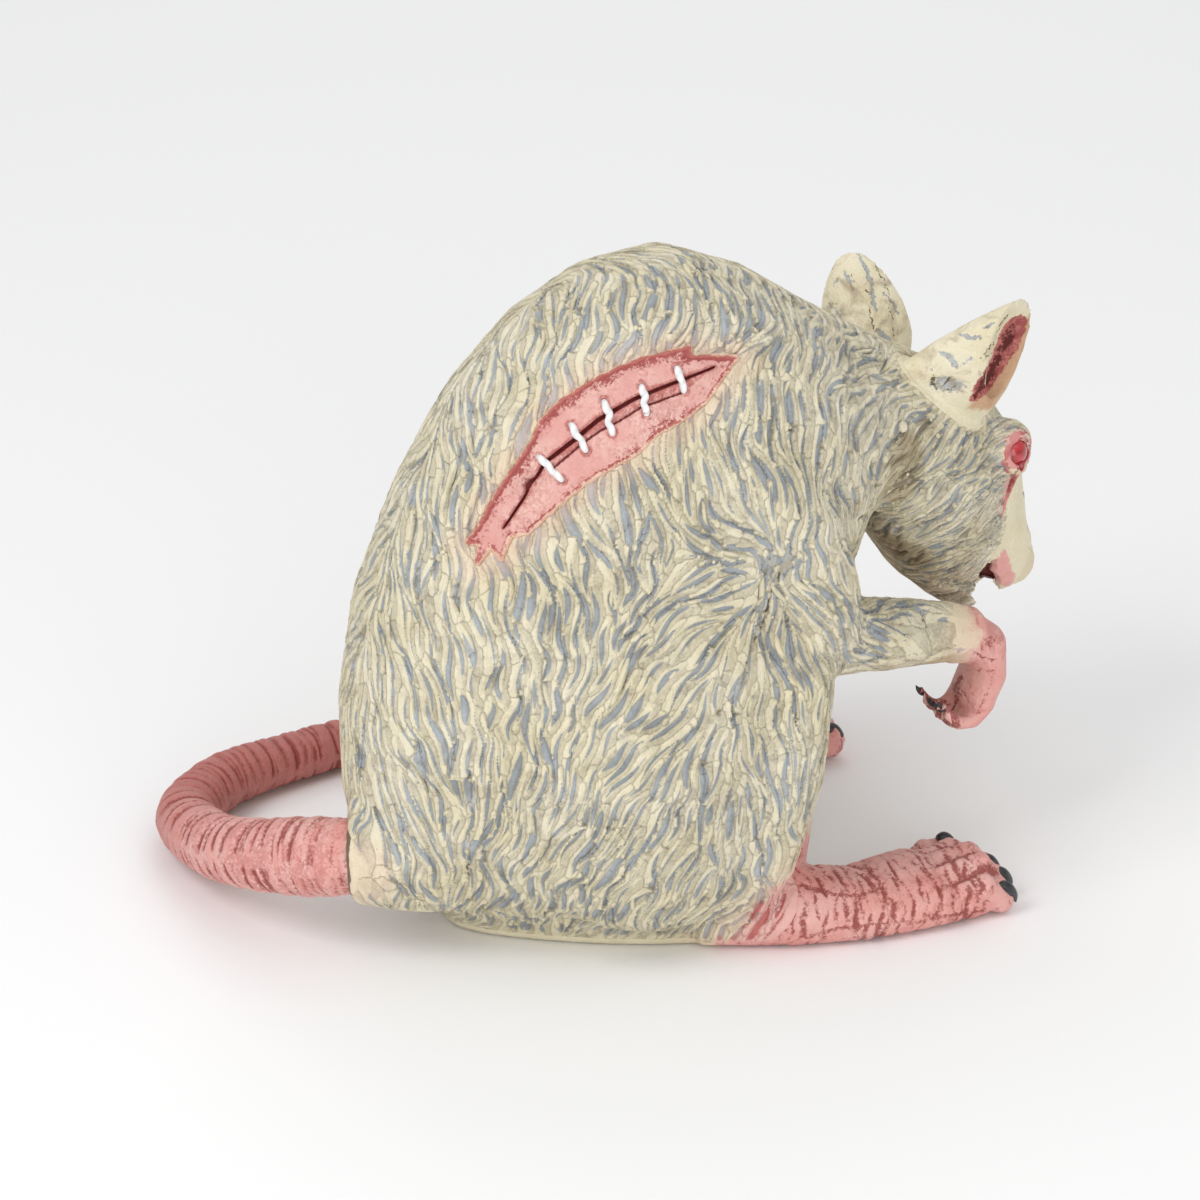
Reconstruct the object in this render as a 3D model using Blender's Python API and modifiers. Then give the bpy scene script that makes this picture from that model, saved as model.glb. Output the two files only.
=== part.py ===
# A cast and hand-painted novelty rat, crouched over its forepaws, with a stitched wound in its flank.
# It is a still figure: a body, glued-on arms, tail and ears, and nothing that moves.
# +X is where it faces, +Y its left, and the origin is on the floor under the middle of the body.

import math

import bmesh
import bpy
from mathutils import Matrix, Vector

# Driving sizes. MM turns the millimetres of this design into the scene's metres.
MM = 0.001
GAP = 0.3  # between pieces that touch
BASE_DEPTH = 6.0  # how far the forms run below the floor before the flat seat is cut
BODY_CELL = 2.2  # cell of the remesh that melts the body's forms together
HEAD_CELL = 1.3
PAW_CELL = 1.0
BODY_FACES = 3050
HEAD_FACES = 1900
HAND_FACES = 400
FOOT_FACES = 500

# The body in sections, from the seat over the hunched back to the neck:
# back edge x, z; front edge x, z; half width; share by which the back is narrower than the front.
TRUNK = (
    (-50, -BASE_DEPTH, 34, -BASE_DEPTH, 34, 0.6),
    (-57, 4, 37, 3, 37, 0.52),
    (-71.5, 17, 40, 13, 43, 0.35),
    (-80, 38, 43, 31, 48, 0.22),
    (-80, 62, 46, 52, 49, 0.12),
    (-75.5, 90, 50, 66, 47.5, 0.08),
    (-63.5, 119, 53, 76, 45.5, 0.05),
    (-49, 142, 55, 84, 43, 0.0),
    (-31, 159.5, 57, 90, 41.5, 0.0),
    (-11, 169.5, 58, 94, 39.5, 0.0),
    (11, 171, 59, 97, 37, 0.0),
    (31.5, 162, 60, 97, 33, 0.0),
)
# The neck and the head: top edge x, z; underside x, z; half width; narrowing; middle y.
NECK = (
    (31.5, 162, 60, 97, 33, 0.0, 0),
    (49, 149, 62, 91, 28, 0.0, 1),
    (63, 139.5, 65, 83.5, 26, 0.0, 2),
    (75, 131.5, 70, 76, 25, 0.0, 3),
)
HEAD = (
    (63, 139.5, 65, 83.5, 26, 0.0, 2),
    (75, 131.5, 70, 76, 25, 0.0, 3),
    (85, 125.5, 75, 68, 24.5, 0.0, 3.5),
    (95, 118.5, 81, 62.5, 23, 0.05, 4),
    (103, 110, 85, 58.5, 20.5, 0.1, 5),
    (108.5, 99, 89, 55.5, 17.5, 0.1, 5),
    (111.5, 88, 92, 53.5, 15, 0.1, 6),
    (113, 77, 95, 53, 13, 0.1, 6),
    (114, 69, 98, 53.5, 11, 0.0, 7),
    (113.5, 63.5, 103, 55, 8.5, 0.0, 7),
    (111.5, 60, 107, 57, 5, 0.0, 7),
)


def clear_scene():
    for item in list(bpy.data.objects):
        bpy.data.objects.remove(item, do_unlink=True)


def new_collection(name, hidden=False):
    group = bpy.data.collections.new(name)
    bpy.context.scene.collection.children.link(group)
    group.hide_render = hidden
    return group


clear_scene()
RAT = new_collection("novelty_rat")
CUTTERS = new_collection("cutters", hidden=True)


def metres(point):
    return Vector(point) * MM


def new_object(name, mesh):
    item = bpy.data.objects.new(name, mesh)
    CUTTERS.objects.link(item)
    item.hide_render = True
    item.display_type = "WIRE"
    return item


def from_bmesh(name, shape):
    bmesh.ops.recalc_face_normals(shape, faces=shape.faces)
    mesh = bpy.data.meshes.new(name)
    shape.to_mesh(mesh)
    shape.free()
    return new_object(name, mesh)


def bake(item):
    """Puts the evaluated mesh in place of the object's own and drops the modifiers."""
    bpy.context.view_layer.update()
    graph = bpy.context.evaluated_depsgraph_get()
    mesh = bpy.data.meshes.new_from_object(item.evaluated_get(graph))
    item.modifiers.clear()
    item.data = mesh
    return item


def copy_of(item, name):
    return new_object(name, item.data.copy())


def drop(*items):
    for item in items:
        bpy.data.objects.remove(item, do_unlink=True)


def loft(name, rings):
    """A closed skin over rings of equal point counts, with flat ends."""
    shape = bmesh.new()
    loops = [[shape.verts.new(point) for point in ring] for ring in rings]
    for lower, upper in zip(loops, loops[1:]):
        for i in range(len(lower)):
            j = (i + 1) % len(lower)
            shape.faces.new((lower[i], lower[j], upper[j], upper[i]))
    shape.faces.new(loops[0])
    shape.faces.new(loops[-1])
    return from_bmesh(name, shape)


def oval(centre, along, across, sides, fullness=2.2, egg=0.0):
    """Points of an oval; a fullness over 2 squares its shoulders, and egg narrows its far end."""
    points = []
    for i in range(sides):
        angle = 2 * math.pi * i / sides
        c, s = math.cos(angle), math.sin(angle)
        c = math.copysign(abs(c) ** (2 / fullness), c)
        s = math.copysign(abs(s) ** (2 / fullness), s)
        points.append(centre + along * c + across * s * (1 - egg * c))
    return points


def section_form(name, sections, sides=28):
    """A body form from sections across the middle plane."""
    rings = []
    for back_x, back_z, front_x, front_z, half, narrowing, *middle in sections:
        y = middle[0] if middle else 0
        back = metres((back_x, y, back_z))
        front = metres((front_x, y, front_z))
        across = Vector((0, half * MM, 0))
        rings.append(oval((back + front) / 2, (back - front) / 2, across, sides, egg=narrowing))
    return loft(name, rings)


def frames_along(points, hint):
    """A direction, a side and a top for each point of a path."""
    frames = []
    for i, point in enumerate(points):
        ahead = points[min(i + 1, len(points) - 1)] - points[max(i - 1, 0)]
        direction = ahead.normalized()
        side = direction.cross(hint).normalized()
        frames.append((point, direction, side, side.cross(direction)))
    return frames


def limb_form(name, stations, hint=(0, 0, 1), sides=14, rounded=True):
    """A limb along stations of x, y, z, half width, half thickness; hint is roughly its upper side."""
    points = [metres(station[:3]) for station in stations]
    rings = []
    frames = frames_along(points, Vector(hint))
    for (point, direction, side, top), station in zip(frames, stations):
        wide, thick = station[3] * MM, station[4] * MM
        rings.append(oval(point, side * wide, top * thick, sides, 2.0))
    if rounded:
        for end, sign in ((0, -1), (-1, 1)):
            point, direction, side, top = frames[end]
            wide, thick = stations[end][3] * MM, stations[end][4] * MM
            for reach, share in ((0.5, 0.87), (0.87, 0.5), (0.98, 0.2)):
                centre = point + direction * sign * reach * min(wide, thick)
                ring = oval(centre, side * wide * share, top * thick * share, sides, 2.0)
                rings.insert(0, ring) if sign < 0 else rings.append(ring)
    return loft(name, rings)


def ball(name, centre, radii, rings=14):
    shape = bmesh.new()
    bmesh.ops.create_uvsphere(shape, u_segments=2 * rings, v_segments=rings, radius=1.0)
    sizes = Matrix.Diagonal(metres(radii)).to_4x4()
    bmesh.ops.transform(shape, matrix=Matrix.Translation(metres(centre)) @ sizes, verts=shape.verts)
    return from_bmesh(name, shape)


def box(name, low, high, turn, pivot):
    """A box between two corners, turned about a pivot."""
    shape = bmesh.new()
    bmesh.ops.create_cube(shape, size=1.0)
    size = metres([b - a for a, b in zip(low, high)])
    centre = metres([(a + b) / 2 for a, b in zip(low, high)])
    hinge = Matrix.Translation(metres(pivot))
    place = Matrix.Translation(centre) @ Matrix.Diagonal(size).to_4x4()
    matrix = hinge @ turn.to_4x4() @ hinge.inverted() @ place
    bmesh.ops.transform(shape, matrix=matrix, verts=shape.verts)
    return from_bmesh(name, shape)


def cut(item, point, normal):
    """Keeps what lies on the normal's side of a plane, closed flat."""
    shape = bmesh.new()
    shape.from_mesh(item.data)
    geometry = shape.verts[:] + shape.edges[:] + shape.faces[:]
    found = bmesh.ops.bisect_plane(
        shape,
        geom=geometry,
        dist=1e-7,
        plane_co=metres(point),
        plane_no=Vector(normal),
        clear_inner=True,
    )
    edges = [g for g in found["geom_cut"] if isinstance(g, bmesh.types.BMEdge)]
    rims = [e for e in edges if e.is_valid and e.is_boundary]
    filled = bmesh.ops.holes_fill(shape, edges=rims, sides=0)
    bmesh.ops.triangulate(shape, faces=filled["faces"])
    bmesh.ops.recalc_face_normals(shape, faces=shape.faces)
    shape.to_mesh(item.data)
    shape.free()
    return item


def seat_flat(item):
    return cut(item, (0, 0, 0), (0, 0, 1))


def grown(item, by=GAP):
    """A copy whose skin stands off by the clearance."""
    copy = copy_of(item, item.name + "_grown")
    shape = bmesh.new()
    shape.from_mesh(copy.data)
    shape.normal_update()
    moved = [vert.co + vert.normal * by * MM for vert in shape.verts]
    for vert, place in zip(shape.verts, moved):
        vert.co = place
    shape.to_mesh(copy.data)
    shape.free()
    return copy


def combine(item, operation, *others):
    for other in others:
        modifier = item.modifiers.new(operation, "BOOLEAN")
        modifier.operation = operation
        modifier.solver = "EXACT"
        modifier.object = other
        bake(item)
    return item


def without(item, *others):
    return combine(item, "DIFFERENCE", *others)


def within(item, *others):
    return combine(item, "INTERSECT", *others)


def clear_of(item, names):
    """Trims a piece back from named pieces by the clearance."""
    for name in names:
        skin = grown(bpy.data.objects[name])
        without(item, skin)
        drop(skin)
    return item


def surfaces(shape):
    """The separate closed surfaces of a bmesh, as lists of faces."""
    left = set(shape.faces)
    while left:
        stack = [left.pop()]
        found = []
        while stack:
            face = stack.pop()
            found.append(face)
            for edge in face.edges:
                for other in edge.link_faces:
                    if other in left:
                        left.remove(other)
                        stack.append(other)
        yield found


def volume_of(faces):
    total = 0.0
    for face in faces:
        corners = [loop.vert.co for loop in face.loops]
        for a, b in zip(corners[1:], corners[2:]):
            total += corners[0].dot(a.cross(b)) / 6
    return abs(total)


def largest(item):
    """Keeps an object's largest closed surface."""
    shape = bmesh.new()
    shape.from_mesh(item.data)
    bmesh.ops.remove_doubles(shape, verts=shape.verts, dist=0.002 * MM)
    bmesh.ops.dissolve_degenerate(shape, edges=shape.edges, dist=0.002 * MM)
    bmesh.ops.triangulate(shape, faces=shape.faces)
    found = sorted(surfaces(shape), key=volume_of)
    loose = [face for faces in found[:-1] for face in faces]
    if loose:
        bmesh.ops.delete(shape, geom=loose, context="FACES")
        stray = [vert for vert in shape.verts if not vert.link_faces]
        bmesh.ops.delete(shape, geom=stray, context="VERTS")
    bmesh.ops.recalc_face_normals(shape, faces=shape.faces)
    shape.to_mesh(item.data)
    shape.free()
    return item


def melt(name, forms, cell, faces, smoothing=5):
    """Melts overlapping forms into one smooth skin with about this many triangles."""
    joined = bmesh.new()
    for form in forms:
        joined.from_mesh(form.data)
    drop(*forms)
    item = from_bmesh(name, joined)
    remesh = item.modifiers.new("melt", "REMESH")
    remesh.mode = "VOXEL"
    remesh.voxel_size = cell * MM
    smooth = item.modifiers.new("smooth", "SMOOTH")
    smooth.factor = 0.5
    smooth.iterations = smoothing
    item.modifiers.new("corners", "TRIANGULATE")
    bake(item)
    thin = item.modifiers.new("thin", "DECIMATE")
    thin.ratio = min(1.0, faces / len(item.data.polygons))
    thin.use_collapse_triangulate = True
    return bake(item)


def material(name, colour, roughness, metallic):
    made = bpy.data.materials.new(name)
    made.use_nodes = True
    shader = made.node_tree.nodes["Principled BSDF"]
    shader.inputs["Base Color"].default_value = (*colour, 1.0)
    shader.inputs["Roughness"].default_value = roughness
    shader.inputs["Metallic"].default_value = metallic
    return made


# Colour, roughness and metallic value of each paint.
PAINTS = {
    "cream_coat": ((0.66, 0.58, 0.36), 0.7, 0.0),
    "pink_skin": ((0.72, 0.30, 0.29), 0.6, 0.0),
    "red_eye": ((0.60, 0.01, 0.01), 0.12, 0.0),
    "raw_wound": ((0.60, 0.16, 0.16), 0.5, 0.0),
    "white_cord": ((0.82, 0.82, 0.84), 0.35, 0.0),
}


def finish(item, name, paint):
    """Makes a cutter-side form a piece of the rat."""
    largest(item)
    item.name = name
    item.data.name = name
    CUTTERS.objects.unlink(item)
    RAT.objects.link(item)
    item.hide_render = False
    item.display_type = "TEXTURED"
    item.data.materials.clear()
    item.data.materials.append(material(name + "_" + paint, *PAINTS[paint]))
    item.data.shade_smooth()
    item.data.set_sharp_from_angle(angle=math.radians(45))
    return item


# Limbs, by side: -1 is the rat's right and 1 its left. Stations are x, y, z, half width and half thickness.
SIDES = {"right": -1, "left": 1}
HIP = (-10, 36, 50)
HIP_SIZE = (42, 20, 44)
SHANK = ((19, 41, 70, 13, 13), (15, 44, 48, 13, 13), (9, 44, 26, 12, 12), (5, 36, 6, 10, 10))
COLLAR = ((-48, -6, 24, 18, 18), (-68, -8, 27, 14.5, 15), (-82, -1, 26.6, 12, 12.4))
SHOULDER = ((12, 28, 126, 18, 15), (24, 32, 108, 16, 14), (30, 34, 92, 14, 12), (32, 36, 79, 11, 11))
FOREARM = ((32, 36, 77, 10, 10), (53, 31, 71, 9.5, 10), (70, 28, 66, 8, 8.6), (86, 26, 60, 7, 7))
ARM_SEAM_X = 53.0
ARM_ROOM = 3.0  # how far the rooms that part the arm stand off its form
# The left arm, which the photo hides, is held this much further back and out at the wrist.
WRIST_SHIFT = {-1: (0.0, 0.0), 1: (-10.0, 13.0)}


def sided(stations, side):
    return [(x, side * y, z, *sizes) for x, y, z, *sizes in stations]


def arm_sided(stations, side):
    """Arm stations of one side, moved out more towards the wrist."""
    back, out = WRIST_SHIFT[side]
    elbow, wrist = FOREARM[0][0], FOREARM[-1][0]
    found = []
    for x, y, z, *sizes in stations:
        share = max(0.0, min(1.0, (x - elbow) / (wrist - elbow)))
        found.append((x + back * share, side * (y + out * share), z, *sizes))
    return found


def body_form():
    forms = [section_form("trunk", TRUNK), section_form("neck_form", NECK), section_form("skull", HEAD)]
    forms.append(limb_form("collar", COLLAR, rounded=False))
    for side in SIDES.values():
        hip = (HIP[0], side * HIP[1], HIP[2])
        forms.append(ball("hip", hip, HIP_SIZE))
        forms.append(limb_form("shank", sided(SHANK, side), hint=(1, 0, 0)))
        forms.append(limb_form("shoulder", sided(SHOULDER, side), hint=(1, 0, 0)))
        forms.append(limb_form("forearm_form", arm_sided(FOREARM, side)))
    return seat_flat(melt("body", forms, BODY_CELL, BODY_FACES))


# The head: eye, lids, nose and mouth, about the head's own middle plane at HEAD_Y.
HEAD_Y = 5.0
EYE = (100.0, 15.5, 102.5)
EYE_RADIUS = 4.4
LID_THICKNESS = 1.9
LID_RISE = 1.6  # how far the swollen rim stands out from the middle of the eye
NOSE = (114.5, HEAD_Y + 2, 62.5)
NOSE_SIZE = (4.2, 4.6, 3.8)
NOSTRIL = (3.6, 2.3)  # ahead of the middle of the nose, and to either side
NOSTRIL_SIZE = (2.0, 1.0, 1.3)
BROW_SIZE = (8.5, 5.5, 7.5)
CHEEK = (97.0, 9.0, 72.0)
CHEEK_SIZE = (14, 8, 13)
WHISKER_PAD = (108.5, 5.0, 64.5)
WHISKER_PAD_SIZE = (6.5, 6, 7)
MOUTH_CORNER = (90.0, 67.0)
MOUTH_FRONT = (110.0, 55.5)
CHIN = (84.0, 62.0)
CHIN_SIZE = (15.5, 17, 20)
GAPE = math.radians(9)  # how far the jaw hangs open


def lid_ring(name, centre, out, radius, thickness):
    """A swollen rim round the eye: a ring lying across the eye's outward direction."""
    shape = bmesh.new()
    turn = out.to_track_quat("Z", "X").to_matrix()
    side = 24
    rings = []
    for i in range(side):
        angle = 2 * math.pi * i / side
        middle = Vector((math.cos(angle), math.sin(angle), 0))
        ring = []
        for j in range(8):
            tilt = 2 * math.pi * j / 8
            reach = radius + thickness * math.cos(tilt)
            ring.append(middle * reach + Vector((0, 0, thickness * math.sin(tilt))))
        rings.append([shape.verts.new(metres(centre) + (turn @ point) * MM) for point in ring])
    for a, b in zip(rings, rings[1:] + rings[:1]):
        for j in range(8):
            k = (j + 1) % 8
            shape.faces.new((a[j], a[k], b[k], b[j]))
    return from_bmesh(name, shape)


def eye_out(side):
    return Vector((0.42, side * 0.86, 0.30)).normalized()


def eye_place(side):
    return (EYE[0], HEAD_Y + side * EYE[1], EYE[2])


def head_form():
    forms = [section_form("skull", HEAD, sides=32)]
    for side in SIDES.values():
        out = eye_out(side)
        place = Vector(eye_place(side))
        forms.append(ball("brow", place + Vector((-1, -2 * side, 1)), BROW_SIZE))
        forms.append(lid_ring("lids", place + out * LID_RISE, out, EYE_RADIUS + 0.6, LID_THICKNESS))
        forms.append(ball("cheek", (CHEEK[0], HEAD_Y + side * CHEEK[1], CHEEK[2]), CHEEK_SIZE))
        pad = (WHISKER_PAD[0], HEAD_Y + 1 + side * WHISKER_PAD[1], WHISKER_PAD[2])
        forms.append(ball("whisker_pad", pad, WHISKER_PAD_SIZE))
    forms.append(ball("nose_pad", NOSE, NOSE_SIZE))
    return melt("head_melt", forms, HEAD_CELL, HEAD_FACES, smoothing=3)


# Planes that part the head and neck: a point and the direction towards the nose.
NECK_PLANE = ((63, 0, 128), (0.99, 0, 0.14))
HEAD_PLANE = ((74, 0, 105), (1.0, 0, 0.04))


def beside(plane, by):
    point, normal = plane
    normal = Vector(normal).normalized()
    return tuple(Vector(point) + normal * by), tuple(normal)


def cut_plane(item, plane, forward=True):
    point, normal = beside(plane, GAP / 2 if forward else -GAP / 2)
    return cut(item, point, normal if forward else -Vector(normal))


def part_jaw(head):
    """The jaw is what lies under the mouth line, parted from the throat behind by an upright cut."""
    slope = math.atan2(MOUTH_CORNER[1] - MOUTH_FRONT[1], MOUTH_FRONT[0] - MOUTH_CORNER[0])
    corner = (MOUTH_CORNER[0], HEAD_Y, MOUTH_CORNER[1])
    turn = Matrix.Rotation(slope, 3, "Y")
    low = (MOUTH_CORNER[0] - 10, HEAD_Y - 30, MOUTH_CORNER[1] - 40)
    high = (MOUTH_CORNER[0] + 45, HEAD_Y + 30, MOUTH_CORNER[1])
    under = box("under", low, high, turn, corner)
    room = box("room", (low[0] - GAP, low[1], low[2]), (high[0], high[1], high[2] + GAP), turn, corner)
    hung = box("hung", low, (high[0], high[1], high[2] - GAP), Matrix.Rotation(slope + GAPE, 3, "Y"), corner)
    chin = ball("chin", (CHIN[0], HEAD_Y + 1, CHIN[1]), CHIN_SIZE)
    jaw = within(copy_of(head, "jaw_cut"), under, hung, chin)
    without(head, room)
    drop(under, room, hung, chin)
    return finish(jaw, "jaw", "cream_coat")


def make_head(body):
    neck = cut_plane(copy_of(body, "neck_cut"), NECK_PLANE)
    neck = cut_plane(neck, HEAD_PLANE, forward=False)
    finish(neck, "neck", "cream_coat")
    head = cut_plane(head_form(), HEAD_PLANE)
    for side in SIDES.values():
        socket = ball("socket", eye_place(side), [EYE_RADIUS + GAP] * 3, rings=8)
        without(head, socket)
        drop(socket)
    part_jaw(head)
    for side in SIDES.values():
        place = (NOSE[0] + NOSTRIL[0], HEAD_Y + 2 + side * NOSTRIL[1], NOSE[2])
        nostril = ball("nostril", place, NOSTRIL_SIZE, rings=5)
        without(head, nostril)
        drop(nostril)
    return finish(head, "head", "cream_coat")


def make_eyes():
    for name, side in SIDES.items():
        eye = ball("eye", eye_place(side), [EYE_RADIUS] * 3, rings=8)
        finish(eye, "eye_" + name, "red_eye")


# Ears: a funnel from a long root on the skull to a rim turned forward and out, hollowed inside.
# For each, the ends of the root and of the rim: the upper and rear one, then the lower and front one.
EAR_ROOT = {"right": ((70, -6, 133), (88, -11, 111)), "left": ((68, 13, 128), (80, 20, 111))}
EAR_RIM = {"right": ((99, -15.5, 147.5), (90, -17.5, 120.5)), "left": ((75.5, 31.5, 146.5), (78.3, 22, 119.6))}
EAR_FACING = {"right": (0.42, -0.86, -0.28), "left": (0.50, 0.80, -0.30)}
EAR_HALF_WIDTH = 10.5
EAR_EGG = {"right": -0.15, "left": 0.3}  # the right rim is broader towards its tip, the left one narrower
# Steps from root to rim and down into the bowl: share of the way, half width as a share, length as a share.
EAR_STEPS = ((0.0, 0.75, 0.9), (0.3, 0.9, 1.0), (0.6, 1.05, 1.04), (0.85, 1.06, 1.03), (1.0, 1.0, 1.0))
EAR_BOWL = ((0.99, 0.82, 0.88), (0.8, 0.66, 0.74), (0.62, 0.45, 0.52), (0.52, 0.18, 0.22))


def make_ear(name, neighbours):
    root, rim = ([Vector(end) for end in ends[name]] for ends in (EAR_ROOT, EAR_RIM))
    rise = (rim[0] - rim[1]).normalized()
    facing = Vector(EAR_FACING[name])
    across = rise.cross(facing - rise * facing.dot(rise)).normalized()
    rings = []
    for way, width, length in EAR_STEPS + EAR_BOWL:
        upper, lower = (a.lerp(b, way) for a, b in zip(root, rim))
        middle, along = (upper + lower) / 2, (upper - lower) / 2 * length
        half = EAR_HALF_WIDTH * width
        rings.append(oval(metres(middle), along * MM, across * half * MM, 16, 2.1, egg=EAR_EGG[name]))
    ear = loft("ear", rings)
    clear_of(ear, neighbours)
    return finish(ear, "ear_" + name, "cream_coat")


# Hands: a palm bent down at the wrist and four fingers curled back under it.
WRIST_X = 83.0
PALM = ((79, 27, 62.5, 6.6, 7), (84.3, 26.5, 59, 6, 7.5), (85.2, 26, 51, 5, 8.3), (82, 26, 44.5, 4.6, 8.3))
FINGER_PATH = ((82.5, 44.5), (79, 39.8), (75, 39.6), (72, 42))
FINGER_RADIUS = 2.5
FINGER_STEP = 4.2
FINGER_CURL = (0, 1.5, 1.0, -1.5)
HAND_CLAW = (-2.6, 4.2)  # how far the claws run back and up from the fingertips
HAND_CLAW_RADIUS = 1.25


def claw_form(name, base, tip, radius):
    base, tip = Vector(base), Vector(tip)
    middle = base.lerp(tip, 0.55) + Vector((0, 0, 0.10)) * (tip - base).length
    stations = [(*base, radius, radius), (*middle, radius * 0.72, radius * 0.72), (*tip, 0.3, 0.3)]
    return limb_form(name, stations, hint=(0, 1, 0), sides=7, rounded=False)


def make_hand(side):
    forms = [limb_form("palm", arm_sided(PALM, side), hint=(0, 1, 0))]
    claws = []
    back, out = WRIST_SHIFT[side]
    for i, curl in enumerate(FINGER_CURL):
        y = side * (PALM[-1][1] + out + FINGER_STEP * (i - 1.5))
        stations = []
        for j, (x, z) in enumerate(FINGER_PATH):
            radius = FINGER_RADIUS * (1 - 0.1 * j)
            stations.append((x + back + curl * 0.2 * j, y, z - curl * 0.35 * j, radius, radius))
        forms.append(limb_form("finger", stations, hint=(0, 1, 0), sides=10))
        end = Vector(stations[-1][:3])
        tip = end + Vector((HAND_CLAW[0], 0, HAND_CLAW[1]))
        claws.append(claw_form("claw", end + Vector((1.5, 0, -1)), tip, HAND_CLAW_RADIUS))
    hand = melt("hand_melt", forms, PAW_CELL, HAND_FACES, smoothing=2)
    combine(hand, "UNION", *claws)
    drop(*claws)
    return hand


# Feet: a long flat sole, high at the ankle, with five arched toes that fan out.
SOLE = (
    (0, 36, 5, 9, 6),
    (20, 43, 7.5, 12, 10),
    (38, 46.5, 5.2, 13.5, 8.4),
    (55, 47, 5.4, 15.5, 8.4),
    (67, 46.5, 3, 15, 5.5),
)
TOE_SPREAD = (31.5, 38.5, 45.5, 52.5, 59.0)
TOE_REACH = (72.5, 76.0, 77.0, 76.5, 74.0)
TOE_HEIGHT = (8.0, 11.2, 13.5, 14.0, 11.5)
TOE_RADIUS = 3.8
TOE_MIDDLE = 46.0
FOOT_CLAW = 3.3
FOOT_CLAW_RADIUS = 2.1
# The left foot stands a little further forward, and turned out by this much for each millimetre of spread.
FOOT_AHEAD = {-1: 0.0, 1: 2.5}
FOOT_TURN = {-1: 0.0, 1: 0.35}


def make_foot(side):
    sole = [(x + FOOT_AHEAD[side], *rest) for x, *rest in sided(SOLE, side)]
    forms = [limb_form("sole", sole)]
    claws = []
    for spread, reach, height in zip(TOE_SPREAD, TOE_REACH, TOE_HEIGHT):
        ahead = FOOT_AHEAD[side] - FOOT_TURN[side] * (spread - TOE_SPREAD[0])
        root_y = TOE_MIDDLE + (spread - TOE_MIDDLE) * 0.62
        knuckle = (reach - 6.5, spread, height - 3.0)
        instep = (61, (root_y + spread) / 2, height - 4.2)
        arch = ((50, root_y, 6.0), instep, knuckle, (reach - 1.5, spread, 3.4))
        stations = [(x + ahead, side * y, z, TOE_RADIUS, TOE_RADIUS) for x, y, z in arch]
        forms.append(limb_form("toe", stations, hint=(0, 1, 0), sides=10))
        base = (reach + ahead - 2.0, side * spread, 8.0)
        tip = (reach + ahead + FOOT_CLAW, side * spread * 1.01, 3.0)
        claws.append(claw_form("claw", base, tip, FOOT_CLAW_RADIUS))
    foot = melt("foot_melt", forms, PAW_CELL, FOOT_FACES, smoothing=2)
    combine(foot, "UNION", *claws)
    drop(*claws)
    return seat_flat(foot)


# The tail: out of the rump, down and round to the floor, then forward along the left flank.
TAIL_ROUTE = (
    (-70, -8, 28.5, 11.0),
    (-84, 1, 26, 10.5),
    (-96, 20, 20, 9.4),
    (-100, 42, 13, 8.5),
    (-97, 66, 8.2, 8.1),
    (-81, 80, 7.1, 7.5),
    (-60, 85, 6.4, 6.9),
    (-36, 87, 5.9, 6.4),
    (-10, 87, 5.1, 5.6),
    (14, 84, 3.9, 4.4),
    (36, 80, 2.5, 3.0),
)
TAIL_LENGTHS = 5
RING_PITCH = 4.2
RING_DEPTH = 0.45
TAIL_SIDES = 10


def curve_point(route, t):
    """A smooth curve through the route's points, by their places and radii."""
    last = len(route) - 1
    at = min(int(t), last - 1)
    u = t - at
    p0, p1, p2, p3 = (route[max(0, min(last, at + k))] for k in (-1, 0, 1, 2))
    point = []
    for a, b, c, d in zip(p0, p1, p2, p3):
        bend = (2 * a - 5 * b + 4 * c - d) * u * u + (3 * b - a - 3 * c + d) * u**3
        point.append(0.5 * (2 * b + (c - a) * u + bend))
    return point


def even_stations(route, step):
    """Stations this far apart along the route."""
    fine = [curve_point(route, (len(route) - 1) * i / 600) for i in range(601)]
    found, run = [fine[0]], 0.0
    for a, b in zip(fine, fine[1:]):
        run += (Vector(b[:3]) - Vector(a[:3])).length
        if run >= step:
            found.append(b)
            run -= step
    return found


def make_tail():
    stations = even_stations(TAIL_ROUTE, RING_PITCH / 2)
    ringed = []
    for i, (x, y, z, radius) in enumerate(stations):
        size = radius - (RING_DEPTH if i % 2 else 0.0)
        ringed.append((x, y, z, size, size))
    points = [metres(station[:3]) for station in ringed]
    frames = frames_along(points, Vector((0, 0, 1)))
    share = len(ringed) // TAIL_LENGTHS
    for n in range(TAIL_LENGTHS):
        first = n * share
        final = len(ringed) - 1 if n == TAIL_LENGTHS - 1 else first + share
        rings = []
        for i in range(first, final + 1):
            point, direction, side, top = frames[i]
            size = ringed[i][3] * MM
            shift = (GAP / 2) * MM * ((i == first and n > 0) - (i == final and n < TAIL_LENGTHS - 1))
            rings.append(oval(point + direction * shift, side * size, top * size, TAIL_SIDES, 2.0))
        if n == TAIL_LENGTHS - 1:
            point, direction, side, top = frames[final]
            tip = ringed[final][3] * MM
            rings.append(oval(point + direction * tip, side * tip * 0.5, top * tip * 0.5, TAIL_SIDES, 2.0))
        length = loft("tail", rings)
        if n == 0:
            clear_of(length, ["torso"])
        seat_flat(length)
        finish(length, f"tail_{n + 1}", "pink_skin")


# The wound: a ragged strip let into the right flank, seen along WOUND_VIEW, with a slit and five stitches.
WOUND_VIEW = (-0.402, -0.790, 0.462)
WOUND_ORIGIN = (-8.9, 4.5, 78.6)
WOUND_SCALE = 0.25
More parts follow.
